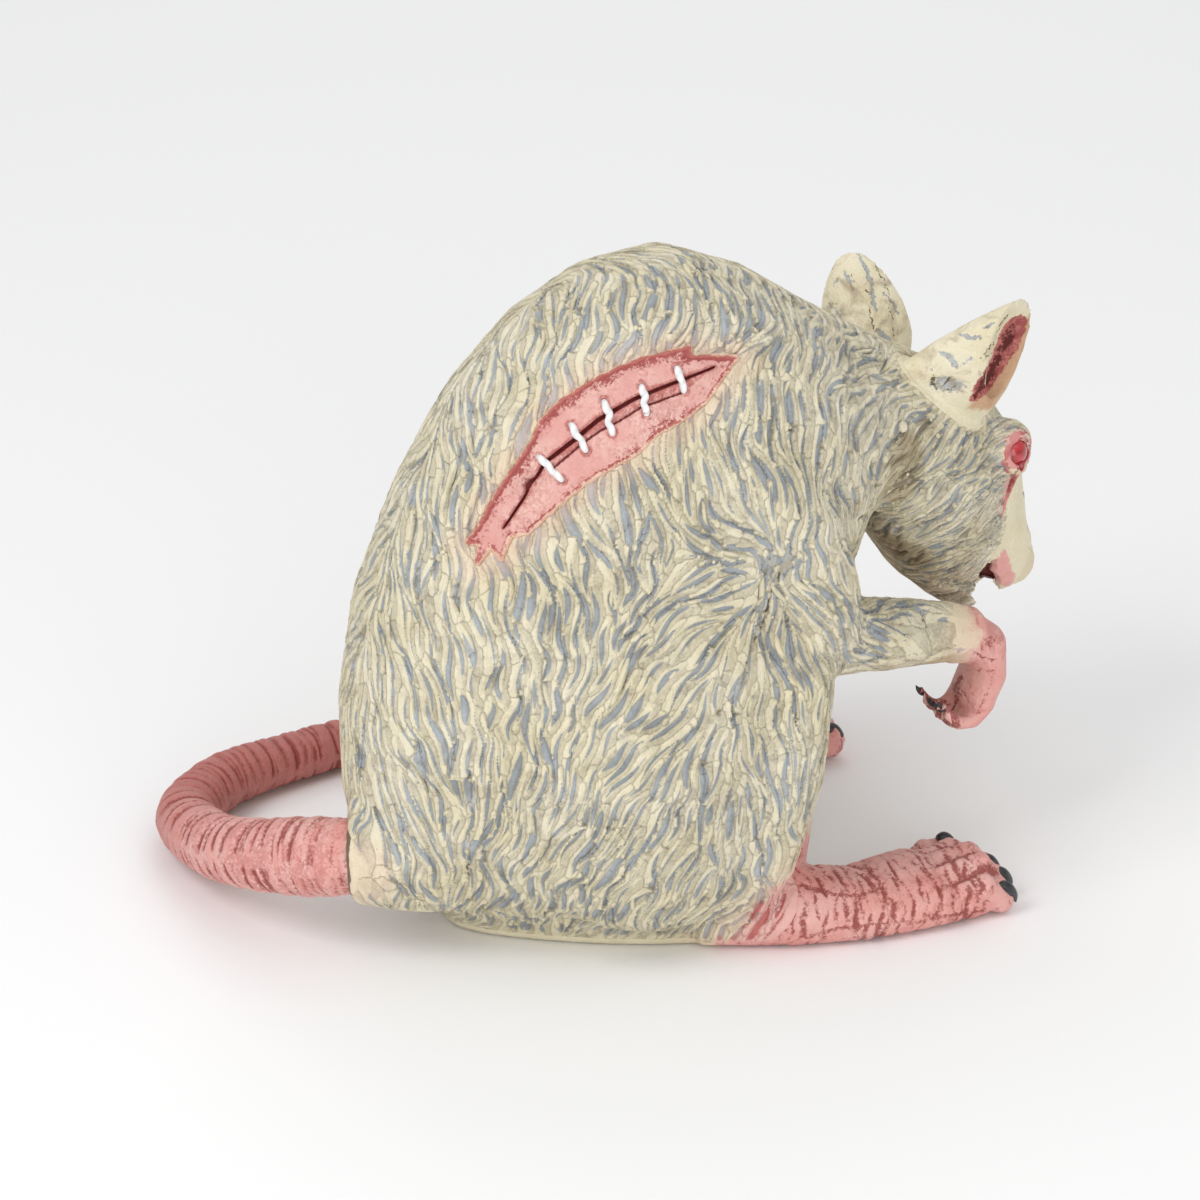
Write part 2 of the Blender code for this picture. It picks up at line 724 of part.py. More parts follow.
# The outline in steps of WOUND_SCALE, right and up from WOUND_ORIGIN as seen along WOUND_VIEW: from the
# front point over the upper edge to the three rear points, and back along the lower edge.
WOUND_OUTLINE = (
    (135, 241), (89, 242), (88, 251), (44, 240), (18, 230), (-5, 219), (-38, 198), (-58, 178), (-67, 158),
    (-78, 141), (-91, 123), (-109, 94), (-119, 74), (-131, 58), (-119, 56), (-122, 38), (-109, 55),
    (-99, 43), (-90, 64), (-72, 68), (-46, 92), (-13, 119), (18, 137), (36, 147), (56, 166), (85, 183),
    (105, 198), (118, 217),
)
WOUND_DEPTH = 2.0
WOUND_BED = 0.7
SLIT = ((-95, 72), (-66, 115), (-54, 137), (-27, 158), (-1, 180), (34, 200), (75, 217), (113, 232))
STITCHES = (
    ((-60, 142), (-38, 120)),
    ((-28, 174), (-14, 149)),
    ((4, 198), (12, 167)),
    ((41, 213), (46, 186)),
    ((76, 231), (83, 209)),
)
STITCH_RADIUS = 0.9
STITCH_RISE = 1.5  # how high a stitch arches over the slit
SLIT_HALF_WIDTH = (0.35, 0.6)  # at its ends, and how much more in the middle


def view_axes():
    back = Vector(WOUND_VIEW).normalized()
    right = Vector((0, 0, 1)).cross(back).normalized()
    return right, back.cross(right), back


def on_view(point):
    """The place of an outline point on the plane through WOUND_ORIGIN, in millimetres."""
    right, up, back = view_axes()
    u, v = point
    return Vector(WOUND_ORIGIN) + (right * u + up * v) * WOUND_SCALE


def outline_prism(name, outline, widen, near, far):
    """The outline as a prism along the view, with its edges moved out."""
    right, up, back = view_axes()
    shape = bmesh.new()
    count = len(outline)
    moved = []
    for i, (u, v) in enumerate(outline):
        before, after = outline[i - 1], outline[(i + 1) % count]
        run = Vector((after[0] - before[0], after[1] - before[1])).normalized()
        moved.append((u + run.y * widen / WOUND_SCALE, v - run.x * widen / WOUND_SCALE))
    loops = []
    for reach in (near, far):
        loops.append([shape.verts.new((on_view(p) + back * reach) * MM) for p in moved])
    for i in range(count):
        j = (i + 1) % count
        shape.faces.new((loops[0][i], loops[0][j], loops[1][j], loops[1][i]))
    shape.faces.new(loops[0])
    shape.faces.new(loops[1])
    return from_bmesh(name, shape)


def surface_hit(item, point):
    """Where the line of sight through an outline point first meets the object, and the skin's direction there."""
    back = view_axes()[2]
    start = (on_view(point) + back * 200) * MM
    place, normal = item.ray_cast(start, -back)[1:3]
    return place / MM, normal


def make_stitch(number, first, second):
    """A cord that comes out of the wound's bed at one end, arches over the slit and dives in at the other."""
    (a, a_out), (b, b_out) = first, second
    out = ((a_out + b_out) / 2).normalized()
    a_deep, a_top = (a - a_out * (WOUND_BED + step) for step in (0.5, -0.5))
    b_deep, b_top = (b - b_out * (WOUND_BED + step) for step in (0.5, -0.5))
    over = a.lerp(b, 0.5) + out * (STITCH_RISE - WOUND_BED)
    path = [a_deep, a_top + out * 0.5, a_top.lerp(over, 0.45) + out * 0.7, over]
    path += [b_top.lerp(over, 0.45) + out * 0.7, b_top + out * 0.5, b_deep]
    stations = [(*point, STITCH_RADIUS, STITCH_RADIUS) for point in path]
    cord = limb_form("stitch", stations, hint=(b - a).cross(out), sides=6, rounded=False)
    return finish(cord, f"stitch_{number}", "white_cord")


def make_wound(torso, body):
    bpy.context.view_layer.update()
    holes = [[surface_hit(body, end) for end in stitch] for stitch in STITCHES]
    slit_hits = [surface_hit(body, point) for point in SLIT]
    shallow = grown(body, -WOUND_BED)
    deep = grown(body, -WOUND_DEPTH)
    floor = grown(body, -WOUND_DEPTH - GAP)
    inner = outline_prism("wound_prism", WOUND_OUTLINE, -GAP / 2, 0, 120)
    outer = outline_prism("recess_prism", WOUND_OUTLINE, GAP / 2, 0, 120)
    wound = without(within(inner, shallow), deep)
    without(torso, without(outer, floor))
    drop(shallow, deep, floor, outer)
    stations = []
    for i, (place, normal) in enumerate(slit_hits):
        share = math.sin(math.pi * (i + 0.5) / len(slit_hits))
        half = SLIT_HALF_WIDTH[0] + SLIT_HALF_WIDTH[1] * share
        stations.append((*(place - normal * (WOUND_BED - 0.1)), half, 0.9))
    slit = limb_form("slit", stations, hint=slit_hits[0][1], sides=6)
    without(wound, slit)
    drop(slit)
    for number, (first, second) in enumerate(holes, 1):
        room = grown(make_stitch(number, first, second))
        without(wound, room)
        drop(room)
    finish(wound, "wound", "raw_wound")


# The rooms that part the limbs from the torso: middle x, y, z, and radii.
THIGH_ROOM = (-8, 66, 44, 47, 34, 52)
SHOULDER_ROOM = (32, 56, 100, 24, 34, 40)


def limb_room(name, room, side, grow, rings):
    x, y, z, *radii = room
    return ball(name, (x, side * y, z), [size + grow for size in radii], rings)


def thigh_region(side, grow=0.0):
    return limb_room("thigh_region", THIGH_ROOM, side, grow, rings=10)


def sleeve(side, grow):
    """The room round a forearm, a little wider than its form."""
    spread = ARM_ROOM + grow
    stations = [(x, y, z, wide + spread, thick + spread) for x, y, z, wide, thick in arm_sided(FOREARM, side)]
    return limb_form("sleeve", stations)


def arm_region(side, grow=0.0):
    """The room of an upper arm: the shoulder, and the elbow as far as the glued seam."""
    shoulder = limb_room("arm_region", SHOULDER_ROOM, side, grow, rings=8)
    elbow = sleeve(side, grow)
    cut(elbow, (ARM_SEAM_X - GAP / 2 + grow, 0, 0), (-1, 0, 0))
    combine(shoulder, "UNION", elbow)
    drop(elbow)
    return shoulder


def forearm_region(side, grow=0.0):
    """The room of a forearm, from its glued seam to the wrist or, grown, past the hand's root."""
    room = sleeve(side, grow)
    cut(room, (ARM_SEAM_X + GAP / 2 - grow, 0, 0), (1, 0, 0))
    if not grow:
        cut(room, (WRIST_X + WRIST_SHIFT[side][0] - GAP / 2, 0, 0), (-1, 0, 0))
    return room


def make_arms(body, torso):
    for name, side in SIDES.items():
        region, room = forearm_region(side), forearm_region(side, GAP)
        forearm = within(copy_of(body, "forearm_cut"), region)
        without(torso, room)
        drop(region, room)
        finish(forearm, "forearm_" + name, "cream_coat")
        hand = clear_of(make_hand(side), ["forearm_" + name])
        finish(hand, "hand_" + name, "pink_skin")


def part_limbs(torso):
    """Parts the thighs and upper arms from the torso with thin curved cuts."""
    for name, side in SIDES.items():
        for piece, region in (("thigh_", thigh_region), ("upper_arm_", arm_region)):
            inside, room = region(side), region(side, GAP)
            limb = within(copy_of(torso, "limb_cut"), inside)
            without(torso, room)
            drop(inside, room)
            finish(limb, piece + name, "cream_coat")


def make_feet():
    for name, side in SIDES.items():
        foot = clear_of(make_foot(side), ["torso", "thigh_" + name])
        finish(foot, "foot_" + name, "pink_skin")


def build():
    body = body_form()
    make_head(body)
    make_eyes()
    torso = cut_plane(copy_of(body, "torso_cut"), NECK_PLANE, forward=False)
    make_arms(body, torso)
    part_limbs(torso)
    make_wound(torso, body)
    finish(torso, "torso", "cream_coat")
    for name in SIDES:
        make_ear(name, ["head", "neck", "torso"])
    make_feet()
    make_tail()
    drop(body)


build()
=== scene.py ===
import bpy
import bmesh
import math
import time
import numpy as np
from mathutils import Matrix, Vector
from mathutils.bvhtree import BVHTree
from mathutils.kdtree import KDTree


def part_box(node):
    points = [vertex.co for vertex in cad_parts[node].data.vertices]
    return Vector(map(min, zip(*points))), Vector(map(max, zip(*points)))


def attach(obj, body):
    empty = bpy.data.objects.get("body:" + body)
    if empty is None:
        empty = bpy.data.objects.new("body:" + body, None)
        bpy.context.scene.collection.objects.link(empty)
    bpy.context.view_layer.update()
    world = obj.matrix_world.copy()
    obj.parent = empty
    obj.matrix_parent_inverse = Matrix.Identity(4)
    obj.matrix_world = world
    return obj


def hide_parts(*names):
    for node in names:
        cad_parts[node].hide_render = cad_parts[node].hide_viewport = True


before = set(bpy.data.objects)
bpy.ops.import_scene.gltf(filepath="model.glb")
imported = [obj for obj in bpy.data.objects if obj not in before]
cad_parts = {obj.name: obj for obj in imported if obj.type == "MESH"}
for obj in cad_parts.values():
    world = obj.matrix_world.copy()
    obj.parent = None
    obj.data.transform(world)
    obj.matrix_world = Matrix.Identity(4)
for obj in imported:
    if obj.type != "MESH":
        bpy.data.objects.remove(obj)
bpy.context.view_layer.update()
started = time.time()
mm = 0.001


def stage(text):
    print(f"{time.time() - started:6.1f} s  {text}")


# the photograph's camera, a pale floor and soft studio light

photo = dict(
    azimuth=-27, elevation=27.5, distance=1.5, target=(-8.9, 4.5, 78.6), lens=180,
    size=1200, scale=0.25,  # the frame in pixels, and millimetres to a pixel at the target
)
lighting = dict(
    sky=(0.97, 0.975, 0.985), skyStrength=0.56,
    lamps=(  # azimuth, elevation, distance, size, watts
        (-78, 46, 1.1, 0.5, 4.0),
        (-12, 12, 1.1, 0.9, 3.6),
        (20, 60, 1.2, 0.9, 1.7),
        (150, 45, 1.2, 0.8, 2.2),
    ),
)


def away(azimuth, elevation):
    # unit vector from the object towards a camera or lamp
    a, e = math.radians(azimuth), math.radians(elevation)
    return Vector((math.sin(a) * math.cos(e), -math.cos(a) * math.cos(e), math.sin(e)))


def lookFrom(obj, back, target, distance):
    right = Vector((0, 0, 1)).cross(back).normalized()
    up = back.cross(right)
    turn = Matrix((right, up, back)).transposed().to_4x4()
    obj.matrix_world = Matrix.Translation(Vector(target) * mm + back * distance) @ turn
    bpy.context.scene.collection.objects.link(obj)
    return right, up


camera = bpy.data.objects.new("camera", bpy.data.cameras.new("camera"))
camera.data.lens = photo["lens"]
camera.data.clip_start = 0.05
camera.data.clip_end = 30
viewBack = away(photo["azimuth"], photo["elevation"])
viewRight, viewUp = lookFrom(camera, viewBack, photo["target"], photo["distance"])
viewEye = Vector(photo["target"]) + viewBack * (photo["distance"] / mm)
bpy.context.scene.camera = camera

for number, (azimuth, elevation, distance, size, watts) in enumerate(lighting["lamps"]):
    lamp = bpy.data.lights.new(f"softbox{number}", "AREA")
    lamp.shape = "SQUARE"
    lamp.size = size
    lamp.energy = watts
    lookFrom(bpy.data.objects.new(lamp.name, lamp), away(azimuth, elevation), photo["target"], distance)


bpy.context.scene.view_settings.view_transform = "Standard"
world = bpy.data.worlds.new("studio")
world.use_nodes = True
world.node_tree.nodes["Background"].inputs["Color"].default_value = (*lighting["sky"], 1)
world.node_tree.nodes["Background"].inputs["Strength"].default_value = lighting["skyStrength"]
bpy.context.scene.world = world
stage("camera and lamps")


# finishes: shader maths written as Python


class Wire:
    # a socket that can be used in sums

    def __init__(self, finish, socket):
        self.finish = finish
        self.socket = socket

    def maths(self, operation, *values, clamp=False):
        return self.finish.node("ShaderNodeMath", dict(operation=operation, use_clamp=clamp), values)

    def __add__(self, other):
        return self.maths("ADD", self, other)

    def __radd__(self, other):
        return self.maths("ADD", other, self)

    def __sub__(self, other):
        return self.maths("SUBTRACT", self, other)

    def __rsub__(self, other):
        return self.maths("SUBTRACT", other, self)

    def __mul__(self, other):
        return self.maths("MULTIPLY", self, other)

    def __rmul__(self, other):
        return self.maths("MULTIPLY", other, self)

    def clamp(self):
        return self.maths("ADD", self, 0.0, clamp=True)

    def sine(self):
        return self.maths("SINE", self)

    def span(self, low, high):
        # 0 below low, 1 above high, with a soft step between
        settings = dict(interpolation_type="SMOOTHSTEP", clamp=True)
        return self.finish.node("ShaderNodeMapRange", settings, (self, low, high))

    def sway(self, share):
        # a pattern from 0 to 1 as a share to add or take away
        return (self - 0.5) * share


class Finish:
    # one material and the nodes that feed its shader

    def __init__(self, name, **shader):
        self.material = bpy.data.materials.new(name)
        self.material.use_nodes = True
        self.tree = self.material.node_tree
        self.shader = self.tree.nodes["Principled BSDF"]
        for label, value in shader.items():
            self.shader.inputs[label.replace("_", " ")].default_value = value

    def node(self, kind, settings=(), values=(), output=0):
        # a node of any kind: its settings first, then its sockets' values or links
        made = self.tree.nodes.new(kind)
        for label, value in dict(settings).items():
            setattr(made, label, value)
        pairs = values.items() if isinstance(values, dict) else enumerate(values)
        for slot, value in pairs:
            socket = made.inputs[slot]
            if isinstance(value, Wire):
                self.tree.links.new(value.socket, socket)
            elif socket.type == "RGBA":
                socket.default_value = (*value, 1)
            else:
                socket.default_value = value
        return Wire(self, made.outputs[output])

    def place(self):
        return self.node("ShaderNodeTexCoord", output=3)

    def joined(self, *parts):
        return self.node("ShaderNodeCombineXYZ", (), parts)

    def scaled(self, vector, amount):
        return self.node("ShaderNodeVectorMath", dict(operation="MULTIPLY"), (vector, amount))

    def noise(self, scale, detail=3.0, rough=0.55, vector=None, warp=0.0):
        values = dict(
            Vector=vector or self.place(), Scale=scale, Detail=detail, Roughness=rough, Distortion=warp,
        )
        return self.node("ShaderNodeTexNoise", (), values)

    def grit(self):
        # full-range speckle, as small as the grain of dry-brushed paint
        fine = self.noise(1300.0, 3.0, rough=0.7).span(0.36, 0.64)
        coarse = self.noise(442.0, 3.0).span(0.36, 0.64)
        return fine * 0.6 + coarse * 0.4

    def attribute(self, name):
        return self.node("ShaderNodeAttribute", dict(attribute_name=name), output=2)

    def attributes(self, names):
        return (self.attribute(name) for name in names.split())

    def blend(self, share, first, second):
        settings = dict(data_type="RGBA", blend_type="MIX")
        return self.node("ShaderNodeMix", settings, {0: share, 6: first, 7: second}, output=2)

    def feed(self, slot, value):
        self.tree.links.new(value.socket, self.shader.inputs[slot])

    def relief(self, height, distance, strength):
        values = dict(Strength=strength, Distance=distance, Height=height)
        self.feed("Normal", self.node("ShaderNodeBump", (), values))


paint = dict(  # the hand-painted palette, as light values
    cream=(0.80, 0.72, 0.50), paleCream=(0.88, 0.81, 0.62), ochre=(0.56, 0.45, 0.26),
    slate=(0.375, 0.405, 0.43), paleSlate=(0.50, 0.535, 0.56), brown=(0.11, 0.085, 0.05),
    umber=(0.33, 0.25, 0.13), pink=(0.80, 0.36, 0.32), palePink=(0.86, 0.50, 0.45), rose=(0.60, 0.19, 0.17),
    wash=(0.30, 0.045, 0.035), blood=(0.16, 0.010, 0.008), peach=(0.84, 0.56, 0.42),
)


def groundPaints(finish, broad, ochred, flecked):
    # the cream and the slate that the skin and the coat are both painted with
    cream = finish.blend(broad.span(0.3, 0.7), paint["cream"], paint["paleCream"])
    slate = finish.blend(broad.span(0.35, 0.65), paint["slate"], paint["paleSlate"])
    return finish.blend(ochred, cream, paint["ochre"]), finish.blend(flecked, slate, paint["brown"])


# helpers for meshes


def points(mesh):
    out = np.empty(len(mesh.vertices) * 3, np.float32)
    mesh.vertices.foreach_get("co", out)
    return out.reshape(-1, 3).astype(float) / mm


def directions(mesh):
    out = np.empty(len(mesh.vertices) * 3, np.float32)
    mesh.vertices.foreach_get("normal", out)
    return out.reshape(-1, 3).astype(float)


def setPoints(mesh, place):
    mesh.vertices.foreach_set("co", (np.asarray(place) * mm).astype(np.float32).ravel())
    mesh.update()


def setValue(mesh, name, values):
    layer = mesh.attributes.get(name) or mesh.attributes.new(name, "FLOAT", "POINT")
    layer.data.foreach_set("value", np.asarray(values, np.float32))


def step(low, high, value):
    t = np.clip((value - low) / (high - low), 0, 1)
    return t * t * (3 - 2 * t)


def near(place, centre, radius, soft=0.5):
    # 1 at a spot, 0 beyond its radius
    far = np.linalg.norm((place - np.array(centre)) / np.array(radius), axis=-1)
    return 1 - step(1 - soft, 1, far)


def smooth(mesh):
    mesh.polygons.foreach_set("use_smooth", np.ones(len(mesh.polygons), bool))


def addPiece(name, mesh, finish, replaced=()):
    piece = bpy.data.objects.new(name, mesh)
    bpy.context.scene.collection.objects.link(piece)
    mesh.materials.clear()
    mesh.materials.append(finish.material)
    smooth(mesh)
    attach(piece, "root")
    if replaced:
        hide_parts(*replaced)


def meshFrom(shape, name):
    # the finished mesh of a bmesh
    mesh = bpy.data.meshes.new(name)
    shape.to_mesh(mesh)
    shape.free()
    return mesh


def absorb(whole, mesh):
    # takes a loose mesh into a larger bmesh
    whole.from_mesh(mesh)
    bpy.data.meshes.remove(mesh)


def outwards(mesh):
    fixed = bmesh.new()
    fixed.from_mesh(mesh)
    bmesh.ops.recalc_face_normals(fixed, faces=fixed.faces)
    fixed.to_mesh(mesh)
    fixed.free()
    return mesh


def unit(v):
    return v / np.maximum(np.linalg.norm(v, axis=-1, keepdims=True), 1e-9)


def rod(segments, sides):
    # an upright prism from 0 to 1, cut across into rings
    bar = bmesh.new()
    bmesh.ops.create_cone(bar, cap_ends=True, segments=sides, radius1=1, radius2=1, depth=1)
    bmesh.ops.translate(bar, verts=bar.verts, vec=(0, 0, 0.5))
    upright = [e for e in bar.edges if abs(e.verts[0].co.z - e.verts[1].co.z) > 0.5]
    bmesh.ops.subdivide_edges(bar, edges=upright, cuts=segments - 1, use_grid_fill=True)
    return bar


def splined(route, count):
    # even points on a smooth curve through the route's rows
    rows = np.asarray(route, float)
    span = np.linalg.norm(np.diff(rows[:, :3], axis=0), axis=1) ** 0.5
    at = np.concatenate([[0], np.cumsum(span)])
    slope = np.gradient(rows, at, axis=0)
    fine = np.linspace(0, at[-1], 1200)
    i = np.clip(np.searchsorted(at, fine, side="right") - 1, 0, len(at) - 2)
    h = (at[i + 1] - at[i])[:, None]
    t = ((fine - at[i])[:, None]) / h
    curve = ((2 * t**3 - 3 * t**2 + 1) * rows[i] + (t**3 - 2 * t**2 + t) * h * slope[i]
             + (3 * t**2 - 2 * t**3) * rows[i + 1] + (t**3 - t**2) * h * slope[i + 1])
    run = np.concatenate([[0], np.cumsum(np.linalg.norm(np.diff(curve[:, :3], axis=0), axis=1))])
    want = np.linspace(0, run[-1], count)
    return np.stack([np.interp(want, run, curve[:, k]) for k in range(curve.shape[1])], 1), run[-1]


def barAlong(name, route, steps, sides):
    # a round bar for a route whose rows end in a radius: its mesh, and for each of its points
    # the ring, the turn, the route's row and the way out from it; and the route's length
    mesh = meshFrom(rod(steps, sides), name)
    spot = points(mesh) * mm
    ring = np.round(spot[:, 2] * steps).astype(int)
    turn = np.arctan2(spot[:, 1], spot[:, 0])
    line, total = splined(route, steps + 1)
    tangent = unit(np.gradient(line[:, :3], axis=0))
    level = abs(tangent[:, 2]).mean() < 0.8
    side = unit(np.cross(tangent, (0.0, 0.0, 1.0) if level else (1.0, 0.0, 0.0)))
    up = np.cross(side, tangent)
    spoke = side[ring] * np.cos(turn)[:, None] + up[ring] * np.sin(turn)[:, None]
    return mesh, ring, turn, line[ring], spoke, total


def tube(route, steps, sides):
    # a closed round bar along a route
    mesh, ring, turn, line, spoke, _ = barAlong("tube", route, steps, sides)
    setPoints(mesh, line[:, :3] + spoke * line[:, 3:])
    setValue(mesh, "run", ring / steps)
    setValue(mesh, "turn", turn)
    return outwards(mesh)


floorSetup = dict(half=12, drop=0.0004, first=(0.965, 0.965, 0.965), second=(0.975, 0.975, 0.975))  # metres

plane = bmesh.new()
bmesh.ops.create_grid(plane, x_segments=2, y_segments=2, size=floorSetup["half"])
bmesh.ops.translate(plane, verts=plane.verts, vec=(0, 0, -floorSetup["drop"]))
floor = bpy.data.objects.new("floor", meshFrom(plane, "floor"))
bpy.context.scene.collection.objects.link(floor)
floorFinish = Finish("paleFloor", Roughness=0.75, Specular_IOR_Level=0.15)
cloud = floorFinish.noise(3.0)
floorFinish.feed("Base Color", floorFinish.blend(cloud, floorSetup["first"], floorSetup["second"]))
floor.data.materials.append(floorFinish.material)
stage("floor")


# the body: all the nodes of flesh as one even surface, from which the skin and the coat are made

skinSetup = dict(swell=0.2, voxel=0.44, smoothing=9, vertices=98000, coatDepth=1.3)
limbs = ("ear", "upper_arm", "forearm", "hand", "thigh", "foot")
flesh = ["torso", "neck", "head", "jaw", "wound"]
flesh += [f"{limb}_{side}" for limb in limbs for side in ("right", "left")]


def wholeBody():
    whole = bmesh.new()
    for name in flesh:
        part = bmesh.new()
        part.from_mesh(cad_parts[name].data)
        bmesh.ops.remove_doubles(part, verts=part.verts, dist=1e-6)
        part.normal_update()
        for vert, out in [(v, v.normal.copy()) for v in part.verts]:
            vert.co += out * skinSetup["swell"] * mm
        absorb(whole, meshFrom(part, "loose"))
    return meshFrom(whole, "body")


def evaluated(obj):
    graph = bpy.context.evaluated_depsgraph_get()
    return bpy.data.meshes.new_from_object(obj.evaluated_get(graph))


def fusedBody():
    rough = bpy.data.objects.new("body", wholeBody())
    bpy.context.scene.collection.objects.link(rough)
    voxels = rough.modifiers.new("voxels", "REMESH")
    voxels.mode = "VOXEL"
    voxels.voxel_size = skinSetup["voxel"] * mm * 1
    rough.data = evaluated(rough)
    rough.modifiers.clear()
    even = bmesh.new()
    even.from_mesh(rough.data)
    axes = dict(use_axis_x=True, use_axis_y=True, use_axis_z=True)
    for _ in range(skinSetup["smoothing"]):
        bmesh.ops.smooth_vert(even, verts=even.verts, factor=0.5, **axes)
    even.to_mesh(rough.data)
    even.free()
    return rough


body = fusedBody()
bodyPlace, bodyOut = points(body.data), directions(body.data)
stage(f"body of {len(bodyPlace)} points")


# where the paint and the coat change, in millimetres of the part's own frame


def mirrored(place):
    # the same place on the side that the photograph shows
    return np.stack([place[:, 0], -np.abs(place[:, 1]), place[:, 2]], 1)


def headSide(place):
    # the same for the head, whose middle lies a little to the left
    return np.stack([place[:, 0], 6 - np.abs(place[:, 1] - 6), place[:, 2]], 1)


def seen(place):
    # places as pixels of the photograph, from its middle, right and up
    off = place - np.array(viewEye)
    deep = -(off @ np.array(viewBack))
    focal = photo["distance"] / mm / photo["scale"]
    return np.stack([off @ np.array(viewRight), off @ np.array(viewUp)], 1) * (focal / deep)[:, None]


def pixels(place):
    # places as pixels of the photograph, from its corner
    spot = seen(place)
    return np.stack([photo["size"] / 2 + spot[:, 0], photo["size"] / 2 - spot[:, 1]], 1)


woundSetup = dict(
    outline=(  # in the photograph's pixels from its middle, right and up, as the lines below are
        (135, 241), (89, 242), (88, 251), (44, 240), (18, 230), (-5, 219), (-38, 198), (-58, 178),
        (-67, 158), (-78, 141), (-91, 123), (-109, 94), (-119, 74), (-131, 58), (-119, 56), (-122, 38),
        (-109, 55), (-99, 43), (-90, 64), (-72, 68), (-46, 92), (-13, 119), (18, 137), (36, 147),
        (56, 166), (85, 183), (105, 198), (118, 217),
    ),
    slit=(
        (-95, 72), (-66, 115), (-54, 137), (-27, 158), (-1, 180), (34, 200), (75, 217), (113, 232),
    ),
    lower=(  # the lower edge of the slit's torn strip
        (-47, 131), (-32, 143.5), (-13.5, 159), (0, 168.6), (18, 178), (39, 191), (73.6, 204), (84, 208),
    ),
    rim=0.18, rimWidth=1.1, wall=0.35,  # the raised rim's height and width, and the width of the bed's wall
    cell=1.15, margin=14, clear=1.4,  # the sheet's mesh and border in pixels, and its height over the skin
    bridging=500, softening=40,  # turns of levelling over the slit in the body, and of evening its directions
)
stitchSetup = dict(
    ends=(
        ((-60, 142), (-38, 120)), ((-28, 174), (-14, 149)), ((4, 198), (12, 167)), ((41, 213), (46, 186)),
        ((76, 231), (83, 209)),
    ),
    kinks=(0.15, -0.28, 0.42, 0.34, -0.12),  # how far each cord bends aside
    along=((0.18, 1.0, 0), (0.40, 1.35, -1), (0.62, 1.30, 1), (0.84, 0.95, 0)),  # share, height, kink
    sunk=1.4, foot=0.1, widths=(0.75, 0.80, 0.95, 0.92, 0.78, 0.90, 0.78, 0.7),
)


def fromLine(place, line, closed=False):
    # distance to a line of points, in the plane or in space, and how far along it
    knots = np.asarray(line, float)
    ends = np.roll(knots, -1, axis=0) if closed else knots[1:]
    starts = knots if closed else knots[:-1]
    best, share = np.full(len(place), 1e9), np.zeros(len(place))
    for i, (a, b) in enumerate(zip(starts, ends)):
        t = np.clip(((place - a) @ (b - a)) / ((b - a) @ (b - a)), 0, 1)
        far = np.linalg.norm(place - a - t[:, None] * (b - a), axis=1)
        share = np.where(far < best, (i + t) / len(starts), share)
        best = np.minimum(best, far)
    return best, share


def inOutline(place, line):
    inside = np.zeros(len(place), bool)
    knots = np.asarray(line, float)
    for (ax, ay), (bx, by) in zip(knots, np.roll(knots, -1, axis=0)):
        crosses = (ay > place[:, 1]) != (by > place[:, 1])
        at = ax + (place[:, 1] - ay) * (bx - ax) / (by - ay if by != ay else 1e-9)
        inside ^= crosses & (place[:, 0] < at)
    return inside


def wavered(spot):
    # pixel places shifted a little, so that painted edges waver like brushwork
    coarse = np.stack([ripple(spot, 8, 61), ripple(spot, 8, 62)], 1)
    fine = np.stack([ripple(spot, 2.6, 63), ripple(spot, 2.6, 64)], 1)
    return spot + 1.0 * coarse + 0.55 * fine


def closeTo(spot, rows, reach=14):
    # which places lie near a set of points
    rows = np.array(rows, float)
    return np.all((spot > rows.min(0) - reach) & (spot < rows.max(0) + reach), axis=1)


def brushed(spot, strokes):
    # how strongly the strokes (half width, strength, route) cover each place
    whole = np.zeros(len(spot))
    close = closeTo(spot, [p for row in strokes for p in row[2]])
    spot = wavered(spot[close])
    found = np.zeros(len(spot))
    for width, strength, route in strokes:
        if len(route) > 1:
            far, along = fromLine(spot, route)
        else:
            far, along = np.linalg.norm(spot - np.array(route[0]), axis=1), 0.5
        wide = width * (0.55 + 0.45 * np.sin(math.pi * np.clip(along, 0, 1)))
        found = np.maximum(found, strength * (1 - step(0.30, 1.40, far / wide)))
    whole[close] = found
    return whole


def within(spot, outline, soft=1.5):
    # 1 inside an outline, 0 outside it
    whole = np.zeros(len(spot))
    close = closeTo(spot, outline)
    spot = wavered(spot[close])
    far, _ = fromLine(spot, outline, closed=True)
    whole[close] = step(-soft, soft, far * np.where(inOutline(spot, outline), 1, -1))
    return whole


def fromWound(place):
    # millimetres outside the wound's outline, less than 0 within it; large on the far side
    spot = seen(place)
    far, _ = fromLine(spot, woundSetup["outline"], closed=True)
    far = far * photo["scale"] * np.where(inOutline(spot, woundSetup["outline"]), -1, 1)
    return np.where((place[:, 1] < 5) & (place[:, 0] < 40), far, 99)


def fromNode(name, place, reach=4.0):
    # millimetres to a node's surface, and no more than reach
    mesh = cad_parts[name].data
    low, high = (np.array(corner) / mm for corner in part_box(name))
    tree = BVHTree.FromPolygons([v.co / mm for v in mesh.vertices], [p.vertices[:] for p in mesh.polygons])
    far = np.full(len(place), reach)
    for i in np.nonzero(((place > low - reach) & (place < high + reach)).all(1))[0]:
        found = tree.find_nearest(place[i], reach)
        if found[0] is not None:
            far[i] = found[3]
    return far


def ripple(place, size, seed):
    # smooth noise from -1 to 1, from a few crossing waves
    rng = np.random.default_rng(seed)
    total = np.zeros(len(place))
    for k in range(7):
        pace = unit(rng.normal(size=3)) * rng.uniform(0.6, 1.7) / size * 2 * math.pi
        total += np.sin(place @ pace[:place.shape[1]] + rng.uniform(0, 6.28))
    return total / 3.2


